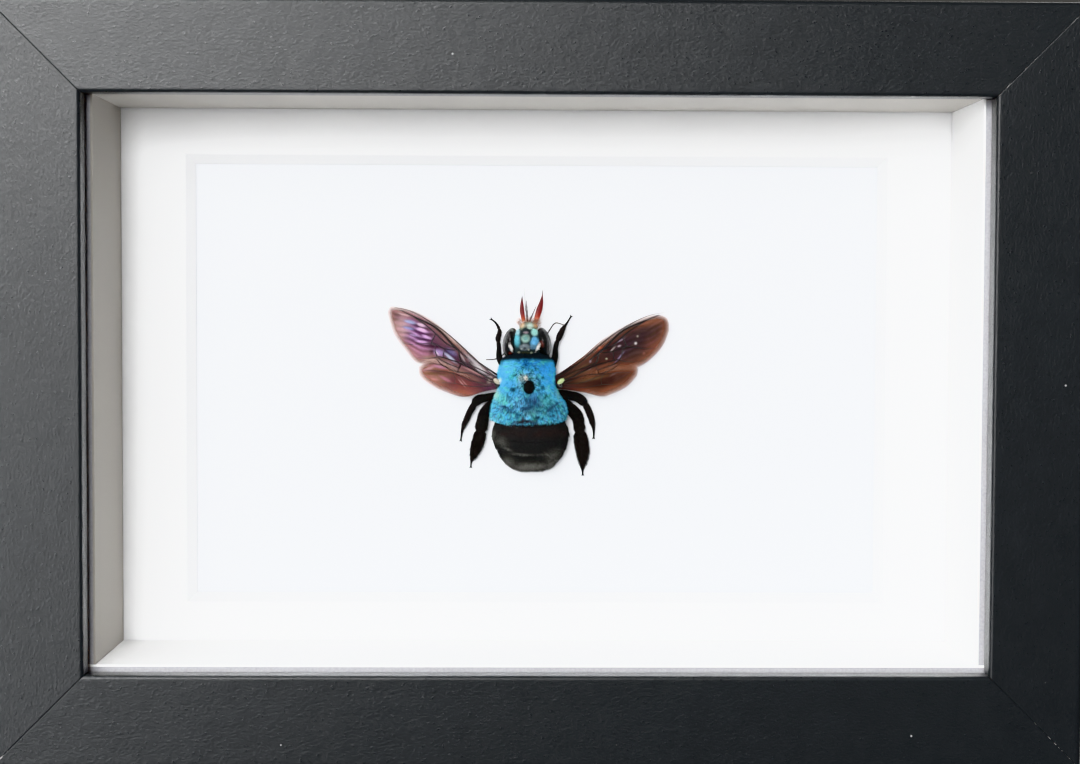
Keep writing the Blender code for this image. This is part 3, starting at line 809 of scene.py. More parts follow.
cuticle = makeTinted("cuticle", {"Roughness": 0.38, "Specular IOR Level": 0.3}, 5200, 0.012 * mm, 0.25)
satin = makeTinted("satinCuticle", {"Roughness": 0.42, "Specular IOR Level": 0.03}, 4200, 0.012 * mm, 0.3)
polished = makeTinted("polishedCuticle", {"Roughness": 0.16, "Coat Weight": 0.5, "Coat Roughness": 0.06},
                      7000, 0.004 * mm, 0.15)
hairCoat = makeTinted("hairCoat", {"Roughness": 0.55, "Specular IOR Level": 0.06}, 4000, 0.0, 0.12)
darkHair = makeTinted("darkHair", {"Roughness": 0.6, "Specular IOR Level": 0.02}, 4000, 0.0, 0.12)


# Thorax

thorax = {
    "stations": [
        (5.2, -0.2, 1.6, 4.4, 1.4), (4.5, -0.2, 4.0, 4.6, 3.5), (3.2, -0.25, 4.75, 4.9, 4.3),
        (1.5, -0.3, 5.0, 5.1, 4.7), (0.0, -0.2, 4.95, 5.1, 4.75), (-1.5, -0.1, 5.4, 4.9, 4.5),
        (-3.5, 0.1, 6.3, 4.6, 4.2), (-5.2, 0.1, 6.7, 4.4, 3.95), (-6.4, 0.1, 6.4, 4.2, 3.7),
        (-7.1, 0.1, 5.4, 4.1, 3.2),
    ],
    "inset": 0.5,
    "skin": tone(12, 12, 14),
    "hairs": 19000,                 # in each of its two coats
    "hairLength": 0.66,
    "hairWidth": 0.065,
    "lean": 0.7,                    # how far the hairs lie back towards the tail
    "bald": (0.1, -0.3, 0.95, 1.2, 0),      # (across, up, two radii, turn) round the bare dome
    "dome": ((0.1, -0.3, 9.15), (1.0, 1.25, 0.66)),
    "hem": (-7.5, 0.031),           # lowest point of the coat's hind edge, and how it curves up at the sides
    "frontGain": (2.3, 2.05, 1.75), # these two make up for the shade between the hairs
    "backGain": (2.6, 2.1, 1.95),
    # marks on the coat: (across, up, two radii, turn in degrees, colour, strength)
    "blueMarksAndHighlights": [
        (-2.9, 2.7, 2.0, 1.9, 0, (84, 188, 250), 0.95),
        (-0.3, 3.7, 1.6, 0.9, 0, (22, 122, 200), 0.85),
        (2.4, 3.2, 1.5, 1.3, 0, (34, 134, 210), 0.85),
        (3.1, 4.0, 0.8, 0.5, 0, (20, 130, 150), 0.8),
        (4.0, 1.7, 0.9, 1.8, 0, (40, 152, 232), 0.85),
        (-3.9, 0.2, 1.0, 1.8, 0, (70, 176, 248), 0.85),
        (-2.9, 1.3, 0.6, 0.6, 20, (60, 196, 190), 0.6),
        (-1.9, -3.2, 1.6, 1.3, 0, (96, 192, 248), 0.85),
        (1.0, -2.4, 1.3, 0.8, 0, (70, 140, 205), 0.6),
        (3.3, -3.0, 1.3, 1.3, 40, (70, 176, 186), 0.75),
        (-4.4, -2.6, 1.1, 1.1, 0, (92, 196, 200), 0.7),
        (-4.9, -5.2, 1.5, 1.0, 0, (66, 178, 230), 0.85),
        (4.4, -5.2, 1.7, 1.1, 0, (56, 168, 210), 0.8),
        (0.5, -4.9, 1.4, 0.7, 0, (92, 172, 180), 0.75),
        (-0.2, 0.5, 1.9, 1.7, 0, (130, 186, 205), 0.7),
        (-1.05, 1.15, 0.7, 0.6, 20, (190, 215, 225), 0.9),
        # a painted highlight where the bare dome shines, at its upper left
        (-0.4, 1.1, 0.3, 0.5, 0, (240, 226, 226), 1.0),
        # a painted glint beside the left wing scale
        (-4.85, 0.6, 0.3, 0.4, 0, (226, 238, 245), 0.85),
        (-5.6, -1.7, 0.7, 1.0, 0, (150, 196, 186), 0.8),
        (5.3, -1.3, 0.6, 0.9, 0, (120, 176, 160), 0.7),
        (1.55, -7.0, 0.35, 0.3, 0, (190, 236, 246), 0.9),
        (-5.9, -6.4, 0.9, 0.4, -20, (120, 206, 236), 0.7),
    ],
    "darkMarks": [
        (-2.67, -0.9, 0.55, 0.45, 0, (10, 60, 84), 0.95),
        (-1.9, -0.5, 0.3, 0.3, 0, (30, 84, 110), 0.7),
        (2.45, -0.6, 0.4, 0.42, 0, (8, 66, 96), 0.9),
        (2.5, 1.15, 0.34, 0.3, 0, (8, 72, 104), 0.9),
        (1.5, 1.2, 0.24, 0.4, 10, (12, 62, 86), 0.85),
        (1.9, 0.3, 0.25, 0.6, -10, (10, 76, 100), 0.85),
        (1.75, -0.95, 0.4, 0.25, 0, (14, 62, 76), 0.85),
        (-0.3, -2.7, 0.3, 0.5, 0, (12, 56, 78), 0.85),
        (0.35, -2.9, 0.16, 0.6, 0, (14, 52, 84), 0.8),
        (1.1, -3.1, 0.35, 0.6, 0, (26, 48, 100), 0.85),
        (2.95, -2.1, 0.25, 0.6, -35, (12, 64, 96), 0.85),
        (3.8, -4.1, 0.26, 1.2, -52, (20, 52, 100), 0.85),
        (4.9, -3.4, 0.2, 0.7, -50, (16, 56, 96), 0.8),
        (-4.1, -3.9, 0.9, 0.3, -10, (20, 66, 110), 0.8),
        (-3.0, -4.4, 0.7, 0.26, 15, (18, 70, 110), 0.75),
        (-0.4, -4.1, 1.2, 0.3, 0, (16, 52, 84), 0.8),
        (1.5, -5.7, 0.6, 0.3, 20, (10, 46, 70), 0.9),
        (-1.9, -5.7, 0.5, 0.3, 0, (16, 74, 100), 0.75),
        (-0.6, -6.4, 1.9, 0.36, 4, (30, 18, 20), 1.0),
        (-0.9, -5.9, 0.3, 0.5, 30, (40, 36, 50), 0.8),
        (-4.7, 3.9, 0.5, 0.9, 0, (10, 60, 78), 0.6),
        (0.7, -3.4, 1.9, 1.9, 0, (18, 62, 96), 0.55),
        (3.9, -4.2, 1.9, 1.6, 0, (20, 74, 100), 0.35),
        (5.0, 0.6, 0.3, 0.9, 0, (14, 18, 26), 0.85),
    ],
}


def thoraxColours(place, random):
    # sky blue in front and teal behind, then the marks, then fine dark blue, green and pale speckles
    # by noise, and painted shade at the nape where the coat meets the head
    across, up = place[:, 0], place[:, 1]
    back = np.clip((0.8 - up) / 4.5, 0, 1)[:, None]
    colours = mixed(tone(56, 168, 240), tone(60, 166, 206), back)
    colours = paintMarks(colours, across, up, thorax["blueMarksAndHighlights"])
    speckle = softNoise(place, 0.30, 3.1) * 0.55 + softNoise(place, 0.17, 8.7) * 0.45
    amount = np.clip((speckle - 0.56 + 0.06 * back[:, 0]) / 0.07, 0, 1)[:, None] * (0.28 + 0.6 * back)
    colours = mixed(colours, tone(14, 54, 88), amount)
    green = np.clip((softNoise(place, 0.45, 15.3) - 0.60) / 0.1, 0, 1)[:, None] * 0.5
    colours = mixed(colours, tone(80, 190, 175), green)
    pale = np.clip((softNoise(place, 0.26, 23.9) - 0.66) / 0.08, 0, 1)[:, None] * (0.2 + 0.15 * back)
    colours = mixed(colours, tone(130, 200, 240), pale)
    gain = mixed(thorax["frontGain"], thorax["backGain"], back)
    colours = paintMarks(colours, across, up, thorax["darkMarks"], 2.2) * gain
    # painted shade along the nape, where the coat meets the head
    paintedNapeShade = np.clip((up + 0.02 * across ** 2 - 4.0) / 0.55, 0, 1)[:, None]
    colours = mixed(colours, tone(20, 34, 44), paintedNapeShade)
    return colours * (0.84 + 0.32 * random.random((len(place), 1)))


def hemRoom(place):
    # how far above the coat's curved hind edge a place is
    low, curve = thorax["hem"]
    return place[..., 1] - (low + curve * place[..., 0] ** 2)


def addThorax():
    # a skin with its bare dome, under two coats of hair that lean back and part round the dome
    rings = bodyRings(thorax["stations"], 8, 96, thorax["inset"])
    skin = ringShape(rings, thorax["skin"])
    dome = ringShape(lumpRings(*thorax["dome"], 0, 40, 48), tone(5, 4, 5))
    addBeePiece("bee_thorax", placed(skin, dome), satin)
    random = np.random.default_rng(21)

    def wanted(place, normal):
        # on the front and sides above the hem, less 1.3 * the bald spot
        bald = spot(place[..., 0], place[..., 1], thorax["bald"]) * (normal[..., 2] > 0)
        return (normal[..., 2] > -0.55) * (hemRoom(place) > 0.08) * np.clip(1.05 - 1.3 * bald, 0, 1)

    for number in (1, 2):
        place, normal = scatter(rings, thorax["hairs"], random, wanted)
        sway = drift(place, 0.6, (1.3, 5.9, 9.2))
        lay = np.array([0.0, -1.0, 0.0]) * thorax["lean"]
        away = np.stack([place[:, 0] - 0.1, place[:, 1] + 0.3, np.zeros(len(place))], axis=-1)
        parting = np.exp(-(np.linalg.norm(away, axis=1) / 1.7) ** 2)[:, None]
        direction = normal + lay * (1 - parting) + unit(away) * parting * 1.1 + sway * 1.2
        direction = unit(direction + random.normal(size=direction.shape) * 0.16)
        length = thorax["hairLength"] * (0.65 + 0.6 * random.random(len(place))) * (1 - 0.5 * parting[:, 0])
        room = hemRoom(place) / np.maximum(-direction[:, 1], 0.05)
        length = np.minimum(length, np.maximum(room, 0.1))
        tips = place + direction * length[:, None] * 0.75
        colours = thoraxColours(tips, random)
        shape = hairShape(place, direction, length, thorax["hairWidth"], colours, random)
        addBeePiece(f"bee_thorax_coat_{number}", shape, hairCoat, outward=False)


addThorax()
print("thorax made")


# Abdomen

abdomen = {
    "stations": [
        (-5.0, 0.2, 5.6, 4.1, 3.0), (-7.0, 0.4, 6.5, 4.1, 3.55), (-9.0, 0.45, 6.7, 4.05, 3.6),
        (-11.2, 0.5, 6.05, 3.9, 3.3), (-12.9, 0.5, 5.0, 3.7, 2.8), (-14.1, 0.55, 3.6, 3.5, 2.1),
        (-14.8, 0.6, 1.9, 3.4, 1.2), (-15.05, 0.6, 0.6, 3.4, 0.5),
    ],
    "inset": 0.22,
    "edges": (-7.3, -9.9, -11.9, -13.0, -14.2),     # hind edge of each ring at the back's middle
    "step": 0.13,
    "sag": 0.035,                                   # how the edges curve towards the head at the sides
    "hairs": 11000,
    # streaks of grey hair: (across, up, two radii, turn, how grey)
    "greyStreaks": [
        (-4.6, -9.8, 1.3, 0.9, -25, 0.4), (-3.6, -11.0, 1.0, 0.25, -20, 0.5),
        (-1.0, -11.9, 2.2, 0.16, -3, 0.55),
        (2.6, -11.9, 1.4, 0.14, 6, 0.5), (4.3, -12.2, 1.5, 1.0, 30, 0.5),
        (3.4, -12.0, 0.8, 0.12, -40, 0.75),
        (4.6, -13.0, 0.7, 0.12, 40, 0.75), (0.3, -13.9, 3.4, 0.7, 2, 0.8), (0.5, -13.7, 1.5, 0.14, 4, 0.95),
        (-3.2, -13.2, 1.2, 0.8, -30, 0.6), (3.8, -13.6, 1.0, 0.8, 30, 0.6), (-5.9, -8.8, 0.4, 1.2, 0, 0.5),
    ],
}


def tergitePlace(place):
    # the ring that a place is in, and how far back in it, its edges curved by sag * across squared
    level = place[..., 1] - abdomen["sag"] * (place[..., 0] - 0.4) ** 2 * 0.6
    edges = np.array(abdomen["edges"])
    ring = np.sum(level[..., None] < edges, axis=-1)
    upper = np.concatenate([[-5.0], edges])[np.minimum(ring, len(edges))]
    lower = np.concatenate([edges, [-15.4]])[np.minimum(ring, len(edges))]
    return ring, np.clip((upper - level) / (upper - lower), 0, 1)


def greyShare(place):
    # how grey a place is: the strongest of the streaks that reach it
    across, up = place[..., 0], place[..., 1]
    return np.max([spot(across, up, streak) * streak[5] for streak in abdomen["greyStreaks"]], axis=0)


def addAbdomen():
    # each ring swells by step * (share along it) to the power 1.5, then drops to the next one
    rings = bodyRings(abdomen["stations"], 22, 120, abdomen["inset"])
    middle = rings.mean(axis=1, keepdims=True)
    ring, along = tergitePlace(rings)
    outward = unit((rings - middle) * [1, 0, 1])
    taper = np.clip((rings[..., 1:2] + 15.1) / 1.2, 0, 1)
    rings = rings + outward * (abdomen["step"] * (along[..., None] ** 1.5 - 0.75)) * taper
    wrinkle = softNoise(rings, 0.35, 2.2)[..., None] * 0.03
    rings = rings + outward * wrinkle * taper
    brown = np.exp(-((rings[..., 1] + 8.3) / 0.7) ** 2)[..., None] * softNoise(rings, 0.8, 7.7)[..., None]
    rim = np.exp(-((along - 0.985) / 0.03) ** 2)[..., None] * 0.5 * (ring > 1)[..., None]
    grey = greyShare(rings)[..., None] * 0.9
    tint = mixed(tone(15, 15, 15), tone(34, 16, 12), brown)
    tint = mixed(tint, tone(118, 118, 112), grey)
    tint = mixed(tint, tone(70, 70, 66), rim)
    addBeePiece("bee_abdomen", placed(ringShape(rings, tint)), satin)
    random = np.random.default_rng(33)

    def wanted(place, normal):
        # behind the thorax, thicker on the sides and thickest where it is grey
        side = 1 - np.clip(normal[..., 2], 0, 1)
        return ((normal[..., 2] > -0.6) * (place[..., 1] < -7.2)
                * (0.06 + 0.5 * side + 3.0 * greyShare(place)))

    place, normal = scatter(rings, abdomen["hairs"], random, wanted)
    tail = np.clip((-11.0 - place[:, 1]) / 3.0, 0, 1)
    side = 1 - np.clip(normal[:, 2], 0, 1)
    direction = normal * (0.16 + 0.5 * side[:, None]) + np.array([0, -1.0, 0])
    direction = direction + drift(place, 0.7, (4.3, 2.9, 7.2)) * 0.9
    direction = direction + random.normal(size=direction.shape) * 0.12
    length = (0.26 + 0.22 * tail + 0.16 * side) * (0.5 + 0.8 * random.random(len(place)))
    room = np.clip((place[:, 1] + 15.2) / 0.5, 0.4, 1)
    shade = random.random((len(place), 1))
    colours = mixed(tone(14, 14, 14), tone(42, 41, 39), shade)
    colours = mixed(colours, np.array(tone(172, 171, 163)) * (0.4 + 0.75 * shade), greyShare(place)[:, None])
    shape = hairShape(place, direction, length * room, 0.05, colours, random, 0.06)
    addBeePiece("bee_abdomen_hair", shape, darkHair, outward=False)


addAbdomen()
print("abdomen made")


# Head, eyes, antennae and mouthparts

head = {
    "middle": (-0.25, 7.05, 4.0),
    "radii": (3.1, 2.65, 3.0),
    "inset": 0.28,
    "eyes": [((-3.05, 7.05, 3.9), 10), ((2.6, 7.05, 3.9), -10)],
    "eyeRadii": (1.3, 2.6, 2.55),
    "faceHairs": 11000,
    "highlightTuftHairs": 420,
    # swellings of the face: (across, up, two radii, turn, height)
    "swellings": [
        (-2.0, 7.9, 0.6, 1.6, 6, 0.34),
        (1.08, 8.85, 0.65, 0.75, 0, 0.36),
        (1.0, 7.2, 0.75, 0.9, -10, 0.3),
        (-0.5, 7.8, 0.78, 0.78, 0, 0.42),
        (0.3, 9.85, 0.6, 0.5, 0, 0.3),
        (-0.65, 6.2, 0.95, 0.6, 0, 0.22),
    ],
    "faceMarks": [
        (-2.05, 7.9, 0.62, 1.65, 6, (88, 168, 182), 1.0),
        (-1.95, 8.9, 0.5, 0.6, 6, (160, 196, 202), 0.95),
        (-2.1, 7.8, 0.4, 0.6, 6, (112, 196, 208), 0.7),
        (1.08, 8.9, 0.66, 0.72, 0, (158, 206, 200), 1.0),
        (1.05, 7.25, 0.82, 0.9, -12, (100, 170, 206), 1.0),
        (0.85, 6.3, 0.7, 0.45, 0, (104, 146, 170), 0.95),
        (-0.49, 7.78, 1.02, 1.02, 0, (28, 46, 48), 1.0),
        (-0.49, 7.78, 0.78, 0.78, 0, (140, 174, 164), 1.0),
        (-0.49, 7.78, 0.34, 0.34, 0, (92, 152, 152), 0.9),
        (-0.49, 7.78, 0.16, 0.16, 0, (132, 172, 168), 0.9),
        (-0.45, 8.85, 0.5, 0.2, 0, (150, 132, 142), 0.85),
        (0.3, 9.9, 0.55, 0.5, 0, (170, 196, 184), 1.0),
        (-1.2, 9.6, 0.45, 0.3, 30, (110, 120, 100), 0.9),
        (-0.6, 6.25, 1.0, 0.6, 0, (106, 118, 124), 1.0),
        (-0.6, 6.1, 0.3, 0.22, 20, (40, 44, 50), 0.85),
        (-1.2, 6.0, 0.16, 0.2, 0, (170, 176, 172), 0.8),
        (0.05, 5.85, 0.18, 0.22, 0, (176, 180, 160), 0.8),
        (-0.6, 5.1, 1.5, 0.4, 0, (58, 58, 32), 0.9),
        (-1.65, 5.25, 0.24, 0.24, 0, (176, 176, 150), 0.9),
        (0.55, 5.25, 0.24, 0.24, 0, (150, 160, 140), 0.9),
    ],
    # on the eyes: an olive rim, a painted reflection, is added outside these
    "eyeMarks": [
        (-2.98, 5.25, 0.36, 0.28, 0, (104, 22, 8), 0.95),
        (2.3, 6.85, 0.28, 0.5, 15, (92, 26, 10), 0.9),
        (-3.35, 8.3, 0.16, 0.8, 15, (70, 62, 66), 0.7),
        (-2.75, 9.2, 0.2, 0.3, 40, (120, 128, 116), 0.6),
    ],
}


def faceRings():
    # the head's ellipsoid, lifted on its front by the sum of the swellings
    radii = [value - head["inset"] for value in head["radii"]]
    rings = lumpRings(head["middle"], radii, 0, 90, 140)
    across, up = rings[..., 0], rings[..., 1]
    front = np.clip((rings[..., 2] - head["middle"][2]) / 0.8, 0, 1)
    lift = sum(spot(across, up, mark) * mark[5] for mark in head["swellings"]) * front
    rings[..., 2] += lift
    return rings


def addHead():
    # the painted head, and fine hair over its front and sides that takes the same colours
    rings = faceRings()
    random = np.random.default_rng(44)
    front = np.clip((rings[..., 2] - head["middle"][2]) / 1.0, 0, 1)[..., None]
    dark = np.broadcast_to(tone(24, 38, 42), rings.shape)
    painted = paintMarks(dark, rings[..., 0], rings[..., 1], head["faceMarks"], 3.5) * 1.5
    addBeePiece("bee_head", placed(ringShape(rings, mixed(dark, painted, front))), cuticle)

    def wanted(place, normal):
        # on the front, between the eyes
        return (normal[..., 2] > -0.2) * (np.abs(place[..., 0] + 0.3) < 2.6)

    place, normal = scatter(rings, head["faceHairs"], random, wanted)
    middle = place - np.array([-0.4, 7.6, 2.0])
    direction = unit(normal + unit(middle) * 0.2 + random.normal(size=place.shape) * 0.25)
    length = 0.24 * (0.5 + 0.9 * random.random(len(place)))
    tips = place + direction * length[:, None]
    colours = np.broadcast_to(tone(28, 44, 46), place.shape)
    colours = paintMarks(colours, tips[:, 0], tips[:, 1], head["faceMarks"], 3.5)
    colours = colours * (1.75 + 0.7 * random.random((len(place), 1)))
    shape = hairShape(place, direction, length, 0.045, colours, random)
    addBeePiece("bee_face_hair", shape, hairCoat, outward=False)


def addEyes():
    # glossy and near black: an olive painted reflection lies on the rim where the outline's share, the
    # distance over the radii, nears 1 on the outer side, with dark red spots
    glossy = makeTinted("eyeFacets", {"Roughness": 0.12, "Specular IOR Level": 0.35, "Coat Weight": 0.15},
                        12000, 0.003 * mm, 0.3)
    width, height = head["eyeRadii"][:2]
    for side, (middle, tilt) in zip(("left", "right"), head["eyes"]):
        rings = lumpRings(middle, head["eyeRadii"], tilt, 60, 64)
        across, up = rings[..., 0], rings[..., 1]
        share = np.sqrt(-np.log(np.maximum(
            spot(across, up, (*middle[:2], width, height, -tilt), 1.0), 1e-9)))
        outer = np.sign(across - middle[0]) * (-1 if side == "left" else 1) > 0
        # the olive rim is a painted reflection of the surroundings on the eye's outer edge
        rim = (np.clip((share - 0.8) / 0.1, 0, 1) * outer)[..., None] * 0.85
        tint = paintMarks(mixed(tone(4, 4, 5), tone(70, 74, 60), rim), across, up, head["eyeMarks"])
        addBeePiece(f"bee_eye_{side}", placed(ringShape(rings, tint)), glossy)
    # a pale hairy patch inside each eye, put there as a painted highlight
    random = np.random.default_rng(55)
    roots = []
    for across, up, tilt in ((-3.0, 6.25, -24), (1.66, 6.3, 26)):
        x, y = turned(*random.normal(size=(2, head["highlightTuftHairs"])) * [[0.11], [0.36]], tilt)
        roots.append(np.stack([across + x, up + y, 6.35 - 0.35 * np.abs(x)], axis=-1))
    roots = np.vstack(roots)
    colours = np.tile(tone(250, 248, 244), (len(roots), 1))
    direction = np.array([0, 0.2, 1.0]) + random.normal(size=roots.shape) * 0.25
    shape = hairShape(roots, direction, 0.26, 0.08, colours, random)
    addBeePiece("bee_eye_highlight_tufts", shape, hairCoat, outward=False)


def alongStops(t, stops):
    # a colour along t, straight between the stops (t, colour)
    at = [stop[0] for stop in stops]
    return np.stack([np.interp(t, at, [stop[1][k] for stop in stops]) for k in range(3)], axis=-1)


def limbShape(stations, steps, sides, stops, **more):
    # limb rings coloured along their path
    rings = limbRings(stations, steps, sides, **more)
    return ringShape(rings, alongStops(np.linspace(0, 1, len(rings)), stops)[:, None])


# blades, palps and antennae are paths of (across, up, rise, half width)
mouthparts = {
    "bristles": 260,
    "bladeStops": [(0, tone(224, 150, 100)), (0.1, tone(196, 88, 30)), (0.24, tone(150, 34, 14)),
                   (0.36, tone(112, 8, 12)), (0.8, tone(98, 4, 10)), (0.92, tone(44, 16, 18)),
                   (1, tone(50, 44, 46))],
    "palpStops": [(0, tone(96, 30, 26)), (0.15, tone(66, 56, 60)), (1, tone(112, 104, 104))],
    "blades": [
        [(-0.75, 10.6, 3.2, 0.3), (-0.95, 11.5, 3.1, 0.37), (-1.12, 12.6, 2.9, 0.4),
         (-1.12, 13.8, 2.7, 0.26),
         (-1.08, 15.1, 2.5, 0.05)],
        [(1.15, 10.4, 3.2, 0.34), (1.5, 11.4, 3.1, 0.46), (1.88, 12.7, 2.9, 0.52), (2.2, 13.9, 2.7, 0.36),
         (2.38, 15.1, 2.5, 0.13), (2.42, 16.1, 2.4, 0.06)],
    ],
    "palps": [
        [(-0.2, 10.6, 3.2, 0.15), (-0.26, 12.3, 2.9, 0.16), (-0.38, 14.3, 2.6, 0.06)],
        [(0.2, 10.6, 3.2, 0.14), (0.75, 11.9, 3.0, 0.12), (1.35, 13.3, 2.7, 0.06)],
        [(-0.5, 12.4, 2.7, 0.05), (-0.6, 14.5, 2.5, 0.05), (-0.73, 16.4, 2.3, 0.025)],
    ],
    "labrumMarks": [
        (0.3, 10.0, 0.55, 0.45, 0, (174, 198, 186), 1.0),
        (-0.3, 9.75, 0.1, 0.3, 0, (40, 60, 44), 0.8),
        (-1.15, 10.15, 0.45, 0.6, 0, (242, 208, 170), 0.95),
        (1.35, 10.05, 0.45, 0.45, 0, (206, 150, 96), 0.9),
    ],
    "antennae": [
        [(2.6, 7.6, 5.0, 0.18), (3.7, 9.3, 4.6, 0.13), (4.3, 10.15, 4.2, 0.13), (4.9, 10.4, 3.8, 0.13),
         (6.1, 10.05, 3.2, 0.12)],
        [(-3.0, 6.4, 2.2, 0.18), (-4.3, 4.9, 1.7, 0.13), (-5.6, 4.15, 1.8, 0.13), (-7.3, 4.0, 1.9, 0.12)],
    ],
}


def addMouthAndAntennae():
    # flattened blades, beaded palps, the lip between them, and beaded antennae
    shapes = []
    for blade in mouthparts["blades"]:
        shapes.append(limbShape(blade, 14, 20, mouthparts["bladeStops"], flatness=0.4))
    for palp in mouthparts["palps"]:
        shapes.append(limbShape(palp, 16, 12, mouthparts["palpStops"], bead=0.3, beads=5))
    labrum = lumpRings((0.05, 9.7, 3.4), (1.6, 0.95, 0.9), 0, 40, 48)
    tint = paintMarks(tone(120, 126, 104), labrum[..., 0], labrum[..., 1], mouthparts["labrumMarks"], 2.0)
    shapes.append(ringShape(labrum, tint))
    addBeePiece("bee_mouthparts", placed(*shapes), cuticle)
    stops = [(0, tone(22, 20, 20)), (0.4, tone(60, 54, 50)), (1, tone(96, 88, 80))]
    shapes = [limbShape(antenna, 26, 12, stops, bead=0.22, beads=11) for antenna in mouthparts["antennae"]]
    addBeePiece("bee_antennae", placed(*shapes), cuticle)
    # fine pale and rusty bristles at the foot of the blades
    random = np.random.default_rng(47)
    count = mouthparts["bristles"]
    roots = np.stack([random.uniform(-1.6, 1.7, count), random.uniform(9.7, 10.9, count),
                      random.uniform(3.0, 4.1, count)], axis=-1)
    spread = np.stack([roots[:, 0] * 0.9, np.full(count, 0.9), np.full(count, 0.3)], axis=-1)
    direction = spread + random.normal(size=(count, 3)) * 0.35
    rust = random.random((count, 1))
    colours = mixed(tone(240, 210, 190), tone(190, 96, 52), rust)
    shape = hairShape(roots, direction, random.uniform(0.5, 1.1, count), 0.045, colours, random)
    addBeePiece("bee_mouth_bristles", shape, hairCoat, outward=False)


addHead()
addEyes()
addMouthAndAntennae()
print("head made")


# Legs: (across, up, rise, half width with the hair), how flat they are, hair length, hairs, and the
# share of the length where the knee and the ankle are

legs = {
    "fore_left": ([(-3.6, 2.2, 3.2, 0.75), (-4.9, 4.2, 2.6, 0.6), (-5.05, 6.2, 2.2, 0.42),
                   (-5.2, 7.7, 2.0, 0.5),
                   (-4.95, 8.9, 1.7, 0.36), (-5.5, 10.2, 1.3, 0.2), (-6.4, 11.0, 1.0, 0.15)],
                  1.0, 0.26, 1600, (0.42, 0.72)),
    "fore_right": ([(3.8, 2.2, 3.2, 0.75), (4.55, 4.4, 2.6, 0.6), (4.75, 6.4, 2.2, 0.44),
                    (5.35, 8.0, 2.0, 0.56),
                    (6.0, 9.4, 1.7, 0.42), (6.7, 10.4, 1.3, 0.2), (7.35, 11.5, 1.0, 0.15)],
                   1.0, 0.26, 1600, (0.42, 0.76)),
    "mid_left": ([(-4.4, -2.0, 3.2, 0.7), (-7.2, -2.5, 2.8, 0.72), (-8.7, -3.0, 2.5, 0.86),
                  (-9.8, -4.6, 2.0, 0.74),
                  (-10.65, -6.4, 1.6, 0.6), (-11.25, -7.9, 1.2, 0.36), (-11.45, -8.9, 1.0, 0.2),
                  (-11.6, -10.0, 0.8, 0.15)], 0.7, 0.36, 3000, (0.36, 0.76)),
    "mid_right": ([(4.6, -1.6, 3.2, 0.7), (8.2, -2.3, 2.8, 0.86), (9.7, -3.4, 2.4, 0.82),
                   (10.6, -5.1, 1.9, 0.72),
                   (11.15, -6.8, 1.4, 0.52), (11.4, -8.1, 1.0, 0.24), (11.4, -9.5, 0.8, 0.15)],
                  0.7, 0.36, 3000, (0.36, 0.76)),
    "hind_left": ([(-4.8, -2.4, 3.0, 0.9), (-7.3, -4.9, 2.5, 0.98), (-7.9, -6.9, 2.3, 1.1),
                   (-8.3, -9.0, 2.1, 1.38),
                   (-8.9, -11.1, 1.8, 1.15), (-9.4, -12.6, 1.4, 0.6), (-9.75, -13.6, 1.0, 0.24),
                   (-9.85, -14.6, 0.8, 0.15)], 0.55, 0.7, 5100, (0.38, 0.8)),
    "hind_right": ([(5.0, -2.4, 3.0, 0.9), (8.2, -5.3, 2.5, 1.1), (8.8, -7.2, 2.3, 1.0),
                    (9.1, -9.3, 2.1, 1.5),
                    (9.45, -11.8, 1.8, 1.35), (9.5, -13.7, 1.4, 0.7), (9.5, -15.0, 1.0, 0.24),
                    (9.55, -15.9, 0.8, 0.15)], 0.55, 0.75, 5100, (0.36, 0.8)),
}


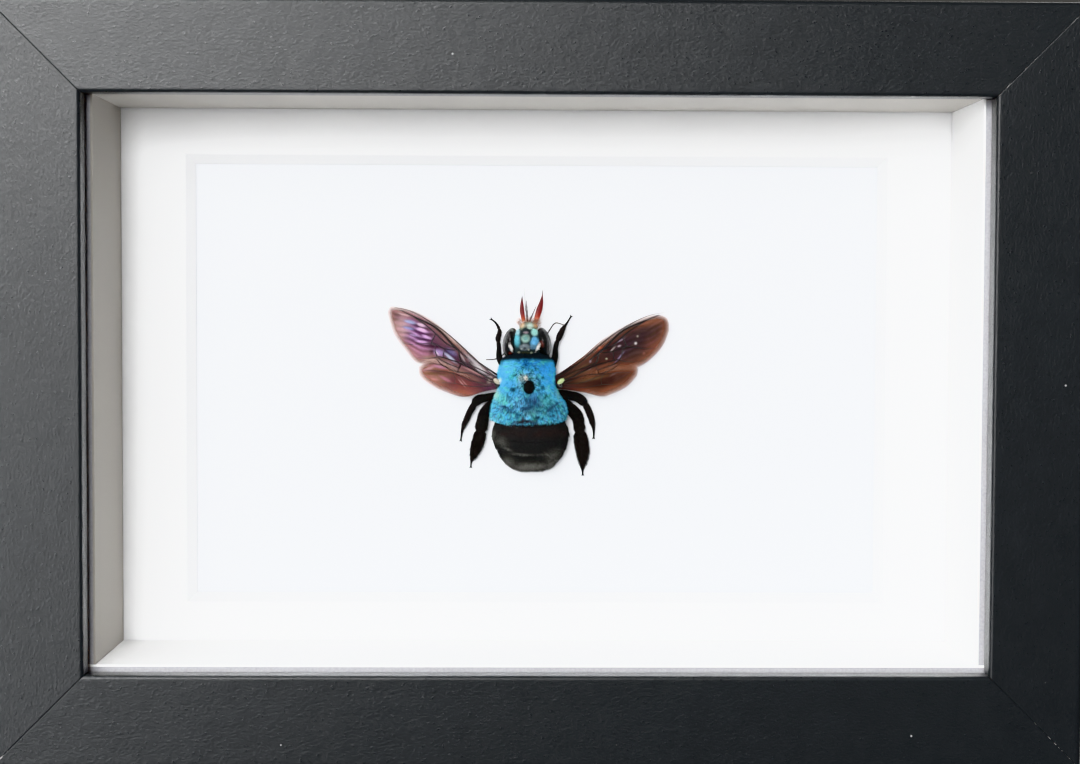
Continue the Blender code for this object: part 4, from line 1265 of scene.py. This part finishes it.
def addLegs():
    # six skins with two claws each, and the hair that lies forward along them
    random = np.random.default_rng(66)
    skins, coats = [], []
    stops = [(0, tone(5, 4, 4)), (0.3, tone(10, 7, 6)), (0.42, tone(18, 10, 9)), (0.7, tone(26, 15, 14)),
             (0.8, tone(12, 7, 7)), (1, tone(4, 3, 3))]
    for stations, flatness, hairLength, count, (knee, ankle) in legs.values():
        rings = limbRings(stations, 14, 28, flatness)
        rows = len(rings)
        t = np.linspace(0, 1, rows)
        # the skin is the whole width on the thigh and foot and less where the hair is long; it is pinched at
        # the knee and the ankle, and the foot is beaded
        skin = np.interp(t, (0, knee - 0.06, knee + 0.06, ankle - 0.04, ankle + 0.02),
                         (0.92, 0.9, 0.68, 0.74, 1.0))
        if hairLength < 0.3:
            skin = np.maximum(skin, 0.86)
        pinch = 1 - 0.3 * np.exp(-((t - knee) / 0.02) ** 2) - 0.25 * np.exp(-((t - ankle) / 0.015) ** 2)
        foot = 1 + 0.4 * (np.abs(np.sin(math.pi * 5 * (t - ankle) / (1 - ankle))) - 0.6) * (t > ankle)
        middle = rings.mean(axis=1, keepdims=True)
        rings = middle + (rings - middle) * (skin * pinch * foot)[:, None, None]
        skins.append(ringShape(rings, alongStops(t, stops)[:, None]))
        tip, before = middle[-1, 0], middle[-6, 0]
        along = unit(tip - before)
        for way in (-1, 1):
            side = np.cross(along, [0, 0, 1.0]) * way
            end = tip + along * 0.3 + side * 0.3 - [0, 0, 0.12]
            claw = np.array([tip - along * 0.1, tip + along * 0.16 + side * 0.2, end])
            claw = np.hstack([claw, [[0.13], [0.1], [0.02]]])
            skins.append(limbShape(claw.tolist(), 5, 8, [(0, tone(14, 12, 12)), (1, tone(34, 22, 18))]))

        def wanted(place, normal, end=ankle + 0.03):
            # from the thigh to the ankle, thicker where the skin turns sideways
            share = np.linspace(0, 1, place.shape[0])[:, None]
            return (share > 0.05) * (share < end) * (0.4 + np.sqrt(np.clip(1 - normal[..., 2] ** 2, 0, 1)))

        place, normal = scatter(rings, count, random, wanted)
        forward = unit(np.gradient(middle[:, 0], axis=0))
        nearest = np.argmin(np.linalg.norm(place[:, None] - middle[None, ::4, 0], axis=-1), axis=1) * 4
        nearest = np.minimum(nearest, rows - 1)
        direction = normal * 0.8 + forward[nearest] + random.normal(size=place.shape) * 0.2
        fade = np.interp(t[nearest], (0, knee, knee + 0.1, ankle - 0.1, ankle), (0.35, 0.4, 0.9, 1.0, 0.35))
        length = hairLength * fade * (0.4 + 0.8 * random.random(count))
        shade = random.random((count, 1)) ** 1.6
        colours = mixed(tone(5, 4, 4), tone(74, 67, 63), shade)
        coats.append(hairShape(place, direction, length, 0.042, colours, random, 0.08))
    addBeePiece("bee_legs", placed(*skins), satin)
    addBeePiece("bee_leg_hair", joinShapes(coats), darkHair, outward=False)


addLegs()
print("legs made")


# Wings: the outline's two sides from base to tip as (across, up); they droop to the card outwards

wings = {
    "droop": 0.21,
    "thickness": 0.05,
    "rows": 170,                    # from base to tip
    "columns": 72,
    "pleat": 0.055,                 # height of the outer part's waves
    "pleatLength": 0.98,
    "brown": {"left": (62, 38, 44), "right": (60, 34, 24)},
    # the small scales over the roots: (middle, radii, tilt, colour)
    "scales": [
        # the right scale's pale green is its own colour with a painted glint laid into it
        ((5.55, 0.5, 6.15), (0.7, 0.4, 0.35), -35, (176, 196, 134)),
        ((5.3, -0.2, 5.9), (0.6, 0.5, 0.4), 10, (20, 18, 18)),
        ((-5.3, 0.45, 6.1), (0.75, 0.42, 0.35), 35, (188, 182, 160)),
        ((-5.2, -0.1, 5.9), (0.55, 0.5, 0.4), -10, (30, 26, 20)),
    ],
    "fore_left": {
        "rise": 6.92,
        "leading": [(-3.6, 1.0), (-5.9, 1.6), (-9.3, 4.6), (-12.7, 7.6), (-15.7, 10.3), (-19.5, 12.4),
                    (-23.4, 13.15), (-24.3, 12.0)],
        "trailing": [(-3.6, -0.2), (-5.8, -0.2), (-9.2, 0.6), (-12.7, 2.0), (-16.0, 3.6), (-19.0, 3.35),
                     (-21.3, 5.8), (-23.2, 8.5), (-24.3, 12.0)],
    },
    "fore_right": {
        "rise": 6.92,
        "leading": [(3.6, 0.9), (6.2, 2.5), (9.5, 4.9), (13.0, 7.9), (17.4, 10.5), (21.8, 11.95),
                    (24.0, 11.3),
                    (24.35, 9.2)],
        "trailing": [(3.6, -0.2), (5.4, -0.2), (10.5, 1.2), (14.3, 2.4), (17.6, 2.45), (20.4, 3.65),
                     (23.1, 6.35), (24.35, 9.2)],
    },
    "hind_left": {
        "rise": 6.78,
        "leading": [(-3.6, 0.4), (-9.2, 1.3), (-12.7, 2.7), (-16.5, 3.95), (-18.85, 2.8)],
        "trailing": [(-3.6, -0.6), (-7.4, -1.3), (-10.4, -2.25), (-12.8, -1.95), (-16.0, -0.8),
                     (-18.55, 1.1),
                     (-18.85, 2.8)],
    },
    "hind_right": {
        "rise": 6.78,
        "leading": [(3.6, 0.4), (8.8, 1.4), (14.3, 3.0), (18.55, 2.95), (18.75, 1.4)],
        "trailing": [(3.6, -0.6), (9.3, -1.4), (12.4, -2.15), (14.3, -1.8), (17.0, -0.5), (18.75, 1.4)],
    },
    "marks": {
        # the violet, pink, blue and pale marks here are painted sheen and glints; the brown and dark ones
        # are the wing's own colour
        "fore_left": [
            (-14.9, 7.0, 3.0, 0.9, -40, (112, 78, 92), 0.7),
            (-19.4, 8.4, 2.6, 3.2, 0, (104, 72, 112), 0.85),
            (-18.6, 5.4, 2.2, 1.3, -25, (176, 118, 138), 0.85),
            (-21.6, 9.6, 1.3, 1.9, 0, (186, 152, 152), 0.85),
            (-20.9, 6.5, 0.8, 0.2, -10, (190, 90, 90), 0.7),
            (-16.8, 4.0, 1.2, 0.4, -10, (226, 204, 186), 0.8),
            (-13.3, 5.15, 1.45, 0.85, -37, (26, 26, 60), 0.95),
            (-13.1, 5.4, 1.0, 0.42, -32, (104, 108, 158), 0.9),
            (-13.3, 4.35, 1.3, 0.26, -40, (208, 224, 250), 1.0),
            (-12.9, 2.85, 1.3, 0.3, -37, (140, 152, 172), 0.9),
            (-15.3, 5.25, 0.95, 0.55, -20, (186, 160, 222), 0.95),
            (-15.6, 5.2, 0.5, 0.12, -52, (250, 236, 250), 0.9),
            (-16.6, 5.2, 0.35, 0.6, -20, (44, 22, 34), 0.8),
            (-16.0, 6.4, 1.0, 0.5, -20, (40, 20, 30), 0.75),
            (-11.2, 4.4, 0.9, 0.16, -60, (206, 198, 200), 0.85),
            (-9.9, 4.2, 0.9, 0.5, -50, (150, 148, 166), 0.7),
            (-8.1, 2.55, 1.5, 0.45, -33, (232, 212, 208), 0.9),
            (-6.5, 0.8, 0.4, 0.75, -20, (236, 222, 202), 0.85),
            (-11.0, 3.0, 1.6, 0.35, -22, (48, 34, 44), 0.8),
            (-9.2, 2.0, 2.0, 0.2, -24, (206, 160, 152), 0.8),
            (-9.4, 1.45, 2.2, 0.22, -20, (34, 22, 26), 0.75),
        ],
        # the pink and lavender bands and thin pale streaks are painted sheen; the browns are the wing's own
        # colour
        "hind_left": [
            (-16.5, 1.4, 3.2, 2.4, 0, (178, 134, 96), 0.7),
            (-14.9, 1.9, 2.2, 0.42, -3, (82, 54, 34), 0.9),
            (-17.1, 2.5, 1.2, 0.26, 18, (222, 172, 182), 0.9),
            (-14.9, 2.85, 1.5, 0.32, -8, (200, 150, 200), 0.95),
            (-16.1, 0.65, 0.75, 0.22, -8, (226, 158, 156), 0.9),
            (-14.2, 0.75, 1.1, 0.26, -28, (200, 130, 148), 0.85),
            (-11.0, -0.4, 2.4, 1.1, -15, (134, 66, 44), 0.85),
            (-11.2, -1.6, 2.2, 0.5, -5, (164, 92, 58), 0.8),
            (-11.35, 0.05, 0.85, 0.1, -48, (216, 170, 166), 0.85),
            (-10.9, 0.15, 0.8, 0.08, -48, (206, 160, 156), 0.8),
            (-8.2, 0.4, 1.8, 0.4, -20, (120, 98, 84), 0.7),
        ],
        # the small pale spots are painted glints and the thin lavender streaks painted sheen; the browns,
        # the orange spot and the dark middle are the wing's own colour
        "fore_right": [
            (17.0, 7.4, 4.6, 2.6, 30, (44, 30, 36), 0.75),
            (12.4, 6.0, 0.7, 0.6, 35, (136, 52, 26), 0.85),
            (12.15, 6.2, 0.22, 0.2, 0, (214, 120, 88), 0.85),
            (8.6, 2.5, 2.6, 0.25, 30, (104, 76, 46), 0.7),
            (8.9, 1.8, 2.8, 0.22, 18, (112, 82, 54), 0.65),
            (21.0, 10.6, 2.4, 0.6, 12, (122, 72, 50), 0.6),
            (21.6, 6.2, 1.5, 1.8, 30, (104, 54, 42), 0.6),
            (15.4, 4.25, 1.35, 0.09, 50, (176, 160, 200), 0.85),
            (15.9, 4.85, 0.9, 0.08, 50, (150, 136, 176), 0.8),
            (15.8, 7.45, 0.75, 0.12, 28, (190, 170, 196), 0.85),
            (15.7, 8.5, 0.9, 0.1, 32, (130, 116, 126), 0.7),
            (15.6, 6.5, 0.3, 0.14, 20, (226, 200, 214), 0.9),
            (14.5, 6.0, 0.6, 0.1, 45, (216, 200, 196), 0.9),
            (18.45, 6.95, 0.2, 0.22, 0, (250, 238, 238), 0.95),
            (18.75, 8.15, 0.14, 0.16, 0, (190, 176, 160), 0.8),
            (13.4, 4.3, 0.16, 0.16, 0, (214, 204, 176), 0.85),
            (10.6, 3.85, 0.16, 0.24, -10, (190, 170, 190), 0.85),
            (10.5, 2.5, 0.16, 0.12, 0, (170, 140, 160), 0.7),
            (19.9, 5.2, 0.24, 0.24, 0, (160, 104, 92), 0.6),
        ],
        "hind_right": [
            (10.6, 0.8, 3.0, 0.28, 12, (112, 92, 56), 0.7),
            (14.7, 1.7, 0.8, 0.16, 30, (132, 116, 122), 0.7),
            (9.0, -0.9, 2.0, 0.5, -12, (104, 44, 32), 0.6),
            (14.0, -0.9, 2.2, 0.6, 20, (124, 70, 44), 0.6),
        ],
    },
    # bright glints on the left fore wing's outer pleats
    "glints": [
        (-18.35, 9.95, 0.7, 0.24, -18, (252, 222, 244), 0.95),
        (-18.2, 9.1, 0.85, 0.3, -18, (252, 208, 248), 1.0),
        (-17.4, 7.9, 0.85, 0.22, -24, (232, 190, 240), 0.95),
        (-18.3, 7.1, 1.0, 0.2, -6, (214, 174, 222), 0.9),
        (-20.3, 10.45, 1.0, 0.3, -12, (166, 180, 222), 0.9),
        (-20.6, 9.4, 1.0, 0.26, -12, (140, 150, 200), 0.85),
        (-19.6, 8.2, 0.8, 0.2, -12, (176, 150, 196), 0.8),
        (-21.3, 11.7, 1.1, 0.16, -14, (222, 190, 196), 0.7),
        (-18.4, 8.6, 0.8, 0.14, -16, (84, 14, 84), 0.9),
        (-17.6, 7.5, 0.8, 0.12, -20, (70, 24, 76), 0.85),
    ],
    # where the membrane is nearly clear, behind the left fore wing's front edge
    "clear": [
        (-8.4, 2.6, 1.9, 0.5, -38, 0.8),
        (-9.5, 4.0, 2.2, 0.28, -40, 0.7),
        (-6.6, 0.9, 0.9, 0.35, -30, 0.55),
    ],
    # veins of the left fore wing, (across, up, half width); the right wing's are their mirror image
    "foreVeins": [
        [(-4.8, 1.2, 0.2), (-8.67, 3.82, 0.13), (-10.81, 5.83, 0.12), (-12.95, 7.78, 0.1),
         (-14.96, 9.35, 0.09),
         (-17.1, 10.7, 0.08), (-18.99, 11.8, 0.07), (-20.88, 12.55, 0.06), (-23.0, 12.95, 0.04)],
        [(-10.43, 4.32, 0.1), (-12.07, 5.83, 0.19), (-13.33, 7.0, 0.22), (-14.2, 8.0, 0.2),
         (-15.6, 9.3, 0.2),
         (-17.2, 10.3, 0.17), (-19.62, 11.4, 0.13), (-22.13, 12.55, 0.07)],
        [(-12.07, 5.83, 0.11), (-12.95, 6.27, 0.13), (-14.21, 6.96, 0.13), (-15.84, 8.47, 0.12),
         (-17.1, 9.6, 0.13),
         (-18.49, 10.61, 0.12), (-19.62, 11.3, 0.08)],
        [(-5.2, 0.4, 0.2), (-7.04, 1.1, 0.15), (-9.55, 2.5, 0.14), (-11.57, 3.5, 0.15), (-13.2, 4.0, 0.1),
         (-14.58, 4.4, 0.12), (-15.4, 4.6, 0.1)],
        [(-5.2, 0.9, 0.12), (-6.66, 1.68, 0.09), (-9.05, 2.8, 0.1), (-11.31, 3.8, 0.13), (-11.7, 4.5, 0.13),
         (-11.8, 5.2, 0.12), (-12.07, 5.83, 0.12)],
        [(-12.07, 5.83, 0.09), (-12.8, 5.7, 0.1), (-14.33, 5.95, 0.1), (-15.5, 6.5, 0.1),
         (-16.5, 6.96, 0.09)],
        [(-14.33, 5.95, 0.08), (-14.5, 5.0, 0.09), (-14.6, 4.4, 0.09)],
        [(-11.8, 2.68, 0.09), (-13.3, 3.2, 0.1), (-14.6, 3.8, 0.11), (-15.5, 4.4, 0.1)],
        [(-15.97, 6.5, 0.08), (-15.9, 5.4, 0.09), (-15.6, 4.5, 0.09)],
        [(-15.84, 8.47, 0.09), (-16.3, 7.6, 0.1), (-16.6, 6.9, 0.11), (-16.0, 6.4, 0.1)],
        [(-16.6, 6.9, 0.1), (-18.2, 6.75, 0.08), (-20.3, 6.6, 0.05), (-21.6, 6.8, 0.03)],
        [(-15.5, 4.5, 0.1), (-16.6, 4.3, 0.08), (-18.4, 4.3, 0.05), (-19.8, 4.6, 0.03)],
        [(-5.2, -0.05, 0.14), (-7.0, 0.6, 0.1), (-9.8, 1.7, 0.09), (-12.1, 1.95, 0.09), (-13.3, 2.4, 0.08),
         (-14.8, 3.2, 0.08), (-15.7, 4.1, 0.08)],
        [(-11.4, 3.4, 0.09), (-11.8, 2.7, 0.1), (-12.1, 1.95, 0.09)],
    ],
    "hindVeins": [
        [(-5.0, 0.2, 0.14), (-9.2, 1.05, 0.1), (-12.7, 2.35, 0.09), (-15.2, 3.2, 0.07), (-17.0, 3.3, 0.04)],
        [(-6.0, 0.0, 0.08), (-9.5, 0.4, 0.07), (-12.9, 1.75, 0.07), (-15.6, 2.1, 0.06), (-17.8, 2.2, 0.03)],
        [(-6.0, -0.3, 0.07), (-9.5, -0.5, 0.06), (-12.6, 0.0, 0.05), (-14.8, 0.1, 0.03)],
        [(-12.9, 1.75, 0.06), (-12.5, 0.9, 0.05), (-12.6, 0.0, 0.05)],
    ],
    # how light each wing's brown is at these distances from the body's middle
    "shade": {
        "fore_left": ((6, 12, 17, 21), (0.58, 0.62, 0.74, 1.0)),
        "fore_right": ((6, 12, 17, 21), (0.78, 0.79, 0.93, 1.1)),
        "hind_left": ((6, 21), (0.68, 0.68)),
        "hind_right": ((6, 21), (0.67, 0.67)),
    },
}


def makeMembrane():
    # smoky brown membrane: its tint and cover come from the wing's own attributes, over fine pleats
    material, tree, shader = startMaterial("wingMembrane", {
        "Roughness": 0.3, "Specular IOR Level": 0.2, "Thin Film Thickness": 552.0, "Thin Film IOR": 1.2})
    tint = addAttribute(tree, "tint")
    hairs = addNoise(tree, objectPlace(tree), 6500, 2.0)
    share = addRange(tree, hairs, 0.3, 0.7, 0.86, 1.14)
    tree.links.new(addScaled(tree, tint, share), shader.inputs["Base Color"])
    tree.links.new(addAttribute(tree, "cover", "Fac"), shader.inputs["Alpha"])
    addBump(tree, shader, hairs, 0.01 * mm, 0.5)
    return material


def wingSurface(name):
    # place = leading side * (1 - v) + trailing side * v at the same share of both lengths,
    # lowered outwards by the droop and pleated by small waves across the outer part
    side = wings[name]
    rows, columns = wings["rows"], wings["columns"]
    lead, trail = evenLine(side["leading"], rows), evenLine(side["trailing"], rows)
    v = np.linspace(0, 1, columns)[None, :, None]
    flat = lead[:, None] * (1 - v) + trail[:, None] * v
    across, up = flat[..., 0], flat[..., 1]
    rim = np.vstack([lead, trail])
    margin = np.empty(across.shape)
    for row in range(rows):
        margin[row] = np.linalg.norm(flat[row][:, None] - rim[None], axis=-1).min(axis=1)
    outer = np.clip((np.abs(across) - 15.0) / 2.5, 0, 1) * np.clip(margin / 1.2, 0, 1)
    slope = 0.27 if name.endswith("left") else -0.36
    wave = np.sin(2 * math.pi * (up + slope * across + 0.22 * np.sin(across * 1.3)) / wings["pleatLength"])
    rise = side["rise"] - wings["droop"] * np.abs(across)
    rise = rise + outer * wave * wings["pleat"]
    place = np.stack([across, up, np.zeros_like(across)], axis=-1)
    rise = rise + (softNoise(place, 0.9, 6.6) - 0.5) * 0.12
    return flat, rise, margin, wave * outer


def wingTint(name, flat, margin, wave):
    # clouded brown, the marks, a painted sheen on the crests and painted shade in the troughs of the
    # left fore wing's pleats, the shade by distance from the body, and a tan rim
    across, up = flat[..., 0], flat[..., 1]
    place = np.stack([across, up, np.zeros_like(across)], axis=-1)
    cloud = (softNoise(place, 1.1, 4.2) - 0.5)[..., None]
    colours = np.array(tone(*wings["brown"][name.split("_")[1]])) * (1 + 0.7 * cloud)
    colours = paintMarks(colours, across, up, wings["marks"][name])
    if name == "fore_left":
        # painted sheen on the pleats' crests and painted shade in their troughs
        crest = np.clip((wave - 0.15) / 0.6, 0, 1) * spot(across, up, (-18.6, 8.4, 2.3, 3.0, 20))
        paintedCrestSheen = (crest * (0.2 + 0.6 * softNoise(place, 0.8, 9.0)))[..., None]
        colours = mixed(colours, tone(206, 160, 210), paintedCrestSheen)
        paintedTroughShade = np.clip((-wave - 0.2) / 0.5, 0, 1) * spot(across, up, (-18.8, 8.4, 2.8, 3.4, 20))
        colours = mixed(colours, tone(48, 22, 52), 0.75 * paintedTroughShade[..., None])
        colours = paintMarks(colours, across, up, wings["glints"], 2.0)
    distances, shades = wings["shade"][name]
    colours = colours * np.interp(np.abs(across), distances, shades)[..., None]
    inner = np.clip((np.abs(across) - 7.0) / 6.0, 0, 1)
    rim = (np.exp(-margin ** 1.6) * inner)[..., None]
    tan = tone(196, 148, 124) if name == "fore_left" else tone(168, 102, 66)
    return np.clip(mixed(colours, tan, 0.8 * rim), 0, 1)


def addWing(name, material):
    # the membrane: it covers less towards its rim and where it is nearly clear
    flat, rise, margin, wave = wingSurface(name)
    rows, columns = rise.shape
    local = np.stack([flat[..., 0], flat[..., 1], rise - 0.06], axis=-1)
    tint = wingTint(name, flat, margin, wave)
    inner = np.clip((np.abs(flat[..., 0]) - 8.0) / 6.0, 0, 1)
    edge = np.clip(margin / 1.1, 0, 1) ** 0.8
    cover = 0.94 * (1 - inner) + inner * (0.10 + 0.84 * edge)
    for mark in wings["clear"]:
        cover = cover * (1 - spot(flat[..., 0], flat[..., 1], mark) * mark[5])
    shape = {"points": beePoints(local).reshape(-1, 3), "faces": gridFaces(rows, columns),
             "tint": tint.reshape(-1, 3), "cover": cover.ravel()}
    wing = addBeePiece(f"bee_wing_{name}", shape, material)
    wall = wing.modifiers.new("wall", "SOLIDIFY")
    wall.thickness = wings["thickness"] * mm
    wall.offset = 0


def veinShapes(lines, side, rise, mirrorTurn):
    # tubes along the lines on the wing, mirrored and turned a little about the wing's root for the
    # right one
    shapes = []
    for line in lines:
        rows = smoothRows(line, 10)
        across, up, width = rows.T
        if side == "right":
            x, y = turned(-across - 4.5, up - 1.0, mirrorTurn)
            across, up = 4.5 + x, 1.0 + y
        height = rise - wings["droop"] * np.abs(across) - 0.02
        rings = limbRings(np.stack([across, up, height, width], axis=-1)[::2], 2, 8, 0.8)
        shapes.append(ringShape(rings, tone(24, 14, 18)))
    return shapes


def addWings():
    # four membranes, their veins, and the scales over their roots
    membrane = makeMembrane()
    for name in ("hind_left", "hind_right", "fore_left", "fore_right"):
        addWing(name, membrane)
    for side in ("left", "right"):
        shapes = veinShapes(wings["foreVeins"], side, wings["fore_left"]["rise"], 2.2)
        shapes += veinShapes(wings["hindVeins"], side, wings["hind_left"]["rise"], 1.0)
        addBeePiece(f"bee_veins_{side}", placed(*shapes), cuticle)
    scales = [ringShape(lumpRings(middle, radii, tilt, 24, 28), tone(*colour))
              for middle, radii, tilt, colour in wings["scales"]]
    addBeePiece("bee_wing_scales", placed(*scales), polished)


addWings()
print("wings made")
